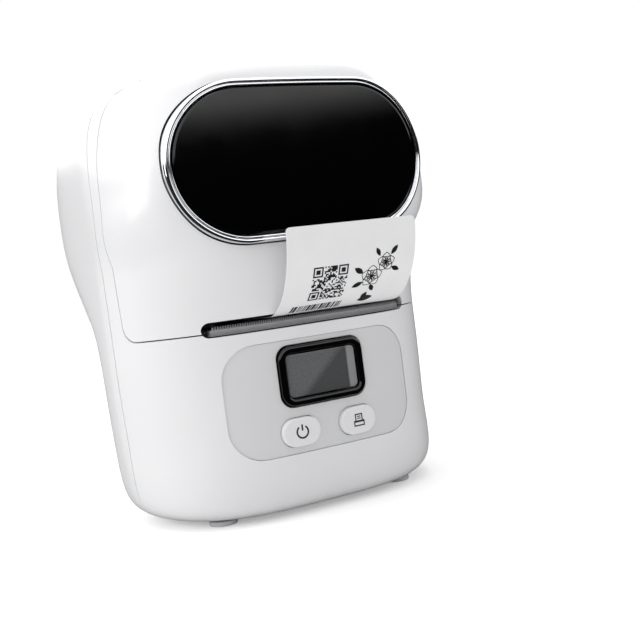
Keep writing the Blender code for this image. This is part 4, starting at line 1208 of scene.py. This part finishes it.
class LABELPRINTER_OT_strip(bpy.types.Operator):
    """Add the label strip, from the platen out of the slot and up in front of the window"""
    bl_idname = "label_printer.strip"
    bl_label = "Label strip"

    def execute(self, context):
        sizes = context.scene.label_printer_sizes
        half = STRIP_THICKNESS / 2
        strip = block("fed_strip", (STRIP_LEFT, -half, 0.0), (STRIP_RIGHT, half, STRIP_LENGTH))
        pick(strip, "EDGE", lambda edge: all(v.co.z > STRIP_LENGTH / 2 for v in edge.verts)
             and abs(edge.verts[0].co.y - edge.verts[1].co.y) > half)
        bpy.ops.mesh.bevel(offset=sizes.strip_corner, segments=10, profile=0.5, affect="EDGES")
        leave()
        slices(strip, "Z", 0.0, STRIP_LENGTH, 0.5 * MM)
        roll_onto_strip(strip)
        settle(strip, "lid", "paper", finish_of(context, "paper"), "label_strip", smooth=40)
        return {"FINISHED"}


def mark(low_x, low_z, high_x, high_z):
    """A flat printed rectangle on the label."""
    middle = ((low_x + high_x) / 2, 0.0, (low_z + high_z) / 2)
    deselect()
    bpy.ops.mesh.primitive_plane_add(
        size=1.0, location=middle, rotation=(math.pi / 2, 0, 0), scale=(1, 1, 1)
    )
    piece = bpy.context.active_object
    piece.scale = (high_x - low_x, high_z - low_z, 1.0)
    return named("mark")


def code_marks(left, low, side, cells, seed):
    """A made-up block pattern: scattered cells, merged along rows, and three framed corners."""
    chance = random.Random(seed)
    step = side / cells
    corner = 7
    marks = []
    for row in range(cells):
        start = None
        for column in range(cells + 1):
            in_corner = (column < corner + 1 or column > cells - corner - 2) and row > cells - corner - 2
            in_corner = in_corner or (column < corner + 1 and row < corner + 1)
            filled = column < cells and not in_corner and chance.random() < 0.48
            if filled and start is None:
                start = column
            if not filled and start is not None:
                bottom = low + row * step
                marks.append(mark(left + start * step, bottom, left + column * step, bottom + step))
                start = None
    for column, row in ((0, 0), (0, cells - corner), (cells - corner, cells - corner)):
        x, z = left + column * step, low + row * step
        edge = corner * step
        marks.append(mark(x, z, x + edge, z + step))
        marks.append(mark(x, z + edge - step, x + edge, z + edge))
        marks.append(mark(x, z + step, x + step, z + edge - step))
        marks.append(mark(x + edge - step, z + step, x + edge, z + edge - step))
        marks.append(mark(x + 2 * step, z + 2 * step, x + edge - 2 * step, z + edge - 2 * step))
    return marks


def bar_marks(left, low, width, height, seed):
    """Upright bars of uneven widths, side by side."""
    chance = random.Random(seed)
    marks = []
    place = left
    while place < left + width:
        thick = chance.choice((0.22, 0.3, 0.5, 0.7)) * MM
        marks.append(mark(place, low, place + thick, low + height))
        place += thick + chance.choice((0.2, 0.26, 0.4)) * MM
    return marks


def leaf_mark(x, z, length, width, lean, outline=0.0):
    """A pointed leaf or petal, filled or only outlined."""
    deselect()
    bpy.ops.mesh.primitive_circle_add(vertices=20, radius=1.0, fill_type="NGON")
    piece = bpy.context.active_object
    piece.data.transform(Matrix.Rotation(math.pi / 2, 4, "X"))
    for vertex in piece.data.vertices:
        taper = 1 - 0.72 * abs(vertex.co.z) ** 2.4
        vertex.co.x *= taper * width / 2
        vertex.co.z *= length / 2
    if outline > 0:
        pick(piece, "FACE", lambda face: True)
        bpy.ops.mesh.inset(thickness=outline, depth=0.0, use_even_offset=True)
        bpy.ops.mesh.delete(type="FACE")
        leave()
    foot = Matrix.Translation((0, 0, length / 2))
    piece.data.transform(Matrix.Translation((x, 0, z)) @ Matrix.Rotation(lean, 4, "Y") @ foot)
    return named("leaf")


def flower_marks(x, z, size):
    """An open bloom of outlined petals in three rounds."""
    marks = []
    for petals, length, width, turn in ((5, 1.0, 0.95, 0.0), (5, 0.68, 0.72, 0.6), (3, 0.38, 0.46, 0.2)):
        for index in range(petals):
            lean = turn + 2 * math.pi * index / petals
            marks.append(leaf_mark(x, z, length * size, width * size, lean, 0.17 * MM))
    return marks


def plant_marks():
    """Two blooms and their leaves, on the label's right side."""
    marks = flower_marks(11.9 * MM, 32.6 * MM, 3.0 * MM) + flower_marks(15.4 * MM, 36.0 * MM, 2.5 * MM)
    for x, z, length, width, lean in (
        (9.4, 33.7, 3.0, 1.4, -1.0), (9.8, 31.2, 3.0, 1.4, -2.0), (12.1, 30.2, 2.6, 1.2, 2.6),
        (17.1, 34.6, 2.6, 1.2, 2.0), (16.6, 37.8, 2.8, 1.2, 0.7), (13.6, 37.7, 2.4, 1.1, -0.5),
    ):
        marks.append(leaf_mark(x * MM, z * MM, length * MM, width * MM, lean))
    return marks


class LABELPRINTER_OT_print(bpy.types.Operator):
    """Add the strip's printed marks: a block pattern, bars and two blooms, none of which say anything"""
    bl_idname = "label_printer.print"
    bl_label = "Printed marks"

    def execute(self, context):
        sizes = context.scene.label_printer_sizes
        marks = code_marks(-4.2 * MM, 27.4 * MM, sizes.code_side, sizes.code_cells, sizes.code_seed)
        marks += bar_marks(-7.4 * MM, 22.6 * MM, 13.4 * MM, 3.0 * MM, sizes.code_seed)
        marks += plant_marks()
        marks.append(leaf_mark(10.5 * MM, 24.6 * MM, 4.0 * MM, 2.6 * MM, 1.3))
        marks.append(leaf_mark(11.2 * MM, 25.3 * MM, 2.6 * MM, 1.4 * MM, 0.3))
        marks = fuse(marks)
        marks.name = "printed_marks"
        slices(marks, "Z", 20 * MM, 44 * MM, 1.0 * MM)
        roll_onto_strip(marks, STRIP_THICKNESS / 2 + 0.03 * MM)
        settle(marks, "lid", "paper", finish_of(context, "ink"))
        return {"FINISHED"}


# ---------------------------------------------------------------- roll, platen, feet and screws

def depth_height(point):
    """A frame point's depth and height in the printer's own sizes."""
    return (point.y - FRONT_Y, point.z - DATUM_Z)


class LABELPRINTER_OT_roll(bpy.types.Operator):
    """Add the roll of labels on its card core, and the platen's rubber"""
    bl_idname = "label_printer.roll"
    bl_label = "Roll and platen"

    def execute(self, context):
        depth, height = depth_height(ROLL)
        low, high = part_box("label_roll")
        middle = ((low.x + high.x) / 2, depth, height)
        width = high.x - low.x
        roll = tube("wound_labels", middle, ROLL_R, 9.0 * MM, width, "X", 128)
        soften(roll, 0.15 * MM, 2)
        settle(roll, "roll", "paper", finish_of(context, "wound_paper"), "label_roll")
        core = tube("card_core", middle, 8.7 * MM, 7.0 * MM, width, "X", 96)
        soften(core, 0.2 * MM, 2)
        settle(core, "roll", "core_card", finish_of(context, "core_card"), "roll_core")

        depth, height = depth_height(PLATEN)
        low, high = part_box("platen_rubber")
        rubber = tube("platen_roller", (0.0, depth, height), PLATEN_R, 1.8 * MM, high.x - low.x, "X", 72)
        soften(rubber, 0.3 * MM, 3)
        settle(rubber, "platen", "rubber", finish_of(context, "rubber"), "platen_rubber")
        return {"FINISHED"}


class LABELPRINTER_OT_feet(bpy.types.Operator):
    """Add the four rubber feet and the four case screws"""
    bl_idname = "label_printer.feet"
    bl_label = "Feet and screws"

    def execute(self, context):
        height = 1.1 * MM
        for index, (across, depth, base) in enumerate(foot_places()):
            middle = (across, depth, base + height / 2)
            foot = rod(f"rubber_foot_{index + 1}", middle, FOOT_R, height, "Z", 56)
            soften(foot, 0.25 * MM, 3)
            settle(foot, "base", "pale_rubber", finish_of(context, "pale_rubber"), f"foot_{index + 1}")
        for index, (across, high) in enumerate(screw_places()):
            face = rear_depth(across, high) - 0.2 * MM
            middle = (across, face - 0.7 * MM, high)
            head = rod(f"case_screw_{index + 1}", middle, 2.2 * MM, 1.4 * MM, "Y", 48)
            soften(head, 0.3 * MM, 3)
            for half_x, half_z in ((0.3 * MM, 1.3 * MM), (1.3 * MM, 0.3 * MM)):
                low = (across - half_x, face - 0.8 * MM, high - half_z)
                carve(head, block("recess", low, (across + half_x, face + 1 * MM, high + half_z)))
            shank = rod("shank", (across, face - 7.3 * MM, high), 1.15 * MM, 12 * MM, "Y", 24)
            carve(head, shank, operation="UNION")
            settle(head, "base", "steel", finish_of(context, "steel"), f"screw_{index + 1}")
        return {"FINISHED"}


class LABELPRINTER_OT_frame(bpy.types.Operator):
    """Give every part of the working frame that still shows its finish"""
    bl_idname = "label_printer.frame"
    bl_label = "Frame finishes"

    def execute(self, context):
        for part in frame["record"]["subparts"]:
            node = frame["nodes"][part["node"]]
            for holder in node.material_slots:
                holder.material = finish_of(context, part["material_slot"])
        return {"FINISHED"}


# ---------------------------------------------------------------- studio

MIRROR_DARK = (0.004, 0.004, 0.004)
MIRROR_BRIGHT = (1.5, 1.5, 1.52)
MIRROR_RISE = (0.15, 0.188)
ROOM_LEFT = (0.84, 0.84, 0.84)
ROOM_RIGHT = (0.50, 0.50, 0.505)
BACKDROP = (1.02, 1.02, 1.02)
FLOOR_DROP = 0.02 * MM
FLOOR_GLOW_REACH = (0.12, 0.9)
FLOOR_GLOW = (0.30, 1.0)
LIT_POINT = (0.0, 0.0, 0.05)
KEY_PLACE = (-1.1, 0.32, 0.42)
TOP_PLACE = (0.0, 0.05, 1.1)
CAMERA_PLACE = Vector((-106.3, -234.0, 56.6)) * MM
CAMERA_LENS = 53.58
CAMERA_YAW = math.radians(27.96)
CAMERA_PITCH = math.radians(2.645)
CAMERA_ROLL = math.radians(7.44)


def add_camera():
    """Add the camera, turned by its yaw, pitch and roll."""
    camera = bpy.data.objects.new("camera", bpy.data.cameras.new("camera"))
    bpy.context.scene.collection.objects.link(camera)
    forward = Vector((
        math.sin(CAMERA_YAW) * math.cos(CAMERA_PITCH),
        math.cos(CAMERA_YAW) * math.cos(CAMERA_PITCH),
        -math.sin(CAMERA_PITCH),
    ))
    level_right = Vector((math.cos(CAMERA_YAW), -math.sin(CAMERA_YAW), 0.0))
    level_up = level_right.cross(forward)
    right = level_right * math.cos(CAMERA_ROLL) - level_up * math.sin(CAMERA_ROLL)
    up = level_right * math.sin(CAMERA_ROLL) + level_up * math.cos(CAMERA_ROLL)
    turn = Matrix((right, up, -forward)).transposed()
    camera.matrix_world = Matrix.Translation(CAMERA_PLACE) @ turn.to_4x4()
    camera.data.lens = CAMERA_LENS
    camera.data.sensor_width = 36.0
    camera.data.clip_start = 0.01
    camera.data.clip_end = 50.0
    bpy.context.scene.camera = camera


def add_softbox(name, place, target, side, power):
    """Add a square area light that faces a point."""
    data = bpy.data.lights.new(name, "AREA")
    data.shape = "SQUARE"
    data.size = side
    data.energy = power
    lamp = bpy.data.objects.new(name, data)
    bpy.context.scene.collection.objects.link(lamp)
    lamp.location = place
    lamp.rotation_mode = "QUATERNION"
    lamp.rotation_quaternion = (Vector(target) - Vector(place)).to_track_quat("-Z", "Y")
    return lamp


def light_world():
    """A white backdrop and a soft even room, whose reflections darken towards the horizon."""
    world = bpy.data.worlds.new("studio")
    bpy.context.scene.world = world
    world.use_nodes = True
    tree = world.node_tree
    tree.nodes.clear()
    place = tree.nodes.new("ShaderNodeTexCoord")
    split = add_node(tree, "ShaderNodeSeparateXYZ", {0: place.outputs["Generated"]})
    rise = spread(tree, split.outputs["Z"], *MIRROR_RISE, 0.0, 1.0)
    curve = add_node(tree, "ShaderNodeMath", {0: rise, 1: 1.9}, operation="POWER")
    sky = blend_colours(tree, curve.outputs[0], MIRROR_DARK, MIRROR_BRIGHT)
    rays = tree.nodes.new("ShaderNodeLightPath")
    leftward = spread(tree, split.outputs["X"], 0.7, -0.7, 0.0, 1.0)
    room = blend_colours(tree, leftward, ROOM_RIGHT, ROOM_LEFT)
    lit = blend_colours(tree, rays.outputs["Is Glossy Ray"], room, sky)
    mixed = blend_colours(tree, rays.outputs["Is Camera Ray"], lit, BACKDROP)
    background = add_node(tree, "ShaderNodeBackground", {"Color": mixed, "Strength": 1.0})
    output = tree.nodes.new("ShaderNodeOutputWorld")
    tree.links.new(background.outputs[0], output.inputs["Surface"])


def floor_finish():
    """A white floor that glows more with distance, so that it meets the backdrop, and mirrors dark."""
    material, tree, shader, place = new_finish("pale_floor")
    reach = add_node(tree, "ShaderNodeVectorMath", {0: place}, operation="LENGTH")
    glow = spread(tree, reach.outputs["Value"], *FLOOR_GLOW_REACH, *FLOOR_GLOW)
    rays = tree.nodes.new("ShaderNodeLightPath")
    seen = add_node(
        tree, "ShaderNodeMath", {0: glow, 1: rays.outputs["Is Camera Ray"]}, operation="MULTIPLY"
    )
    tree.links.new(seen.outputs[0], shader.inputs["Emission Strength"])
    shader.inputs["Emission Color"].default_value = (1.0, 1.0, 1.0, 1.0)
    shade = add_node(tree, "ShaderNodeEmission", {"Color": (0.02, 0.02, 0.02, 1.0)})
    mixed = add_node(
        tree, "ShaderNodeMixShader", {0: rays.outputs["Is Glossy Ray"], 2: shade.outputs[0]}
    )
    tree.links.new(shader.outputs[0], mixed.inputs[1])
    tree.links.new(mixed.outputs[0], tree.nodes["Material Output"].inputs["Surface"])
    tree.links.new(
        blend_colours(tree, noise(tree, place, 3.0), (0.93, 0.93, 0.93), (0.95, 0.95, 0.95)),
        shader.inputs["Base Color"],
    )
    shader.inputs["Roughness"].default_value = 0.9
    shader.inputs["Specular IOR Level"].default_value = 0.1
    return material


class LABELPRINTER_OT_stage(bpy.types.Operator):
    """Add the pale floor, the lights and the camera"""
    bl_idname = "label_printer.stage"
    bl_label = "Studio"

    def execute(self, context):
        side = context.scene.label_printer_sizes.floor_side
        deselect()
        bpy.ops.mesh.primitive_plane_add(size=side, location=(0.0, 0.0, -FLOOR_DROP))
        floor = context.active_object
        floor.name = "studio_floor"
        floor.data.materials.append(floor_finish())

        add_softbox("key_light", KEY_PLACE, LIT_POINT, 0.7, 3.8)
        add_softbox("top_light", TOP_PLACE, LIT_POINT, 0.9, 4.2)
        light_world()
        context.scene.view_settings.view_transform = "Standard"
        add_camera()
        return {"FINISHED"}


# ---------------------------------------------------------------- add-on

class LABELPRINTER_PT_panel(bpy.types.Panel):
    """Lists the printer's pieces and settings in the sidebar"""
    bl_idname = "LABELPRINTER_PT_panel"
    bl_label = "Label Printer"
    bl_space_type = "VIEW_3D"
    bl_region_type = "UI"
    bl_category = "Label Printer"

    def draw(self, context):
        layout = self.layout
        for operator in OPERATORS:
            layout.operator(operator.bl_idname)
        for title, group in (
            ("Sizes", context.scene.label_printer_sizes), ("Colours", context.scene.label_printer_colours)
        ):
            box = layout.box()
            box.label(text=title)
            for key in group.bl_rna.properties.keys():
                if key not in {"rna_type", "name"}:
                    box.prop(group, key)


OPERATORS = (
    LABELPRINTER_OT_rear_shell,
    LABELPRINTER_OT_front_shell,
    LABELPRINTER_OT_lid,
    LABELPRINTER_OT_window,
    LABELPRINTER_OT_panel,
    LABELPRINTER_OT_buttons,
    LABELPRINTER_OT_tear_bar,
    LABELPRINTER_OT_strip,
    LABELPRINTER_OT_print,
    LABELPRINTER_OT_roll,
    LABELPRINTER_OT_feet,
    LABELPRINTER_OT_frame,
    LABELPRINTER_OT_stage,
)
CLASSES = (LABELPRINTER_PG_sizes, LABELPRINTER_PG_colours, *OPERATORS, LABELPRINTER_PT_panel)


def register():
    """Register the add-on's classes and settings."""
    for item in CLASSES:
        bpy.utils.register_class(item)
    bpy.types.Scene.label_printer_sizes = PointerProperty(type=LABELPRINTER_PG_sizes)
    bpy.types.Scene.label_printer_colours = PointerProperty(type=LABELPRINTER_PG_colours)


def unregister():
    """Remove the add-on's settings and classes."""
    del bpy.types.Scene.label_printer_sizes
    del bpy.types.Scene.label_printer_colours
    for item in reversed(CLASSES):
        bpy.utils.unregister_class(item)


def main():
    """Build every piece and the studio."""
    register()
    bpy.ops.label_printer.rear_shell()
    bpy.ops.label_printer.front_shell()
    bpy.ops.label_printer.lid()
    bpy.ops.label_printer.window()
    bpy.ops.label_printer.panel()
    bpy.ops.label_printer.buttons()
    bpy.ops.label_printer.tear_bar()
    bpy.ops.label_printer.strip()
    bpy.ops.label_printer.print()
    bpy.ops.label_printer.roll()
    bpy.ops.label_printer.feet()
    bpy.ops.label_printer.frame()
    bpy.ops.label_printer.stage()
    deselect()


if __name__ == "__main__":
    main()
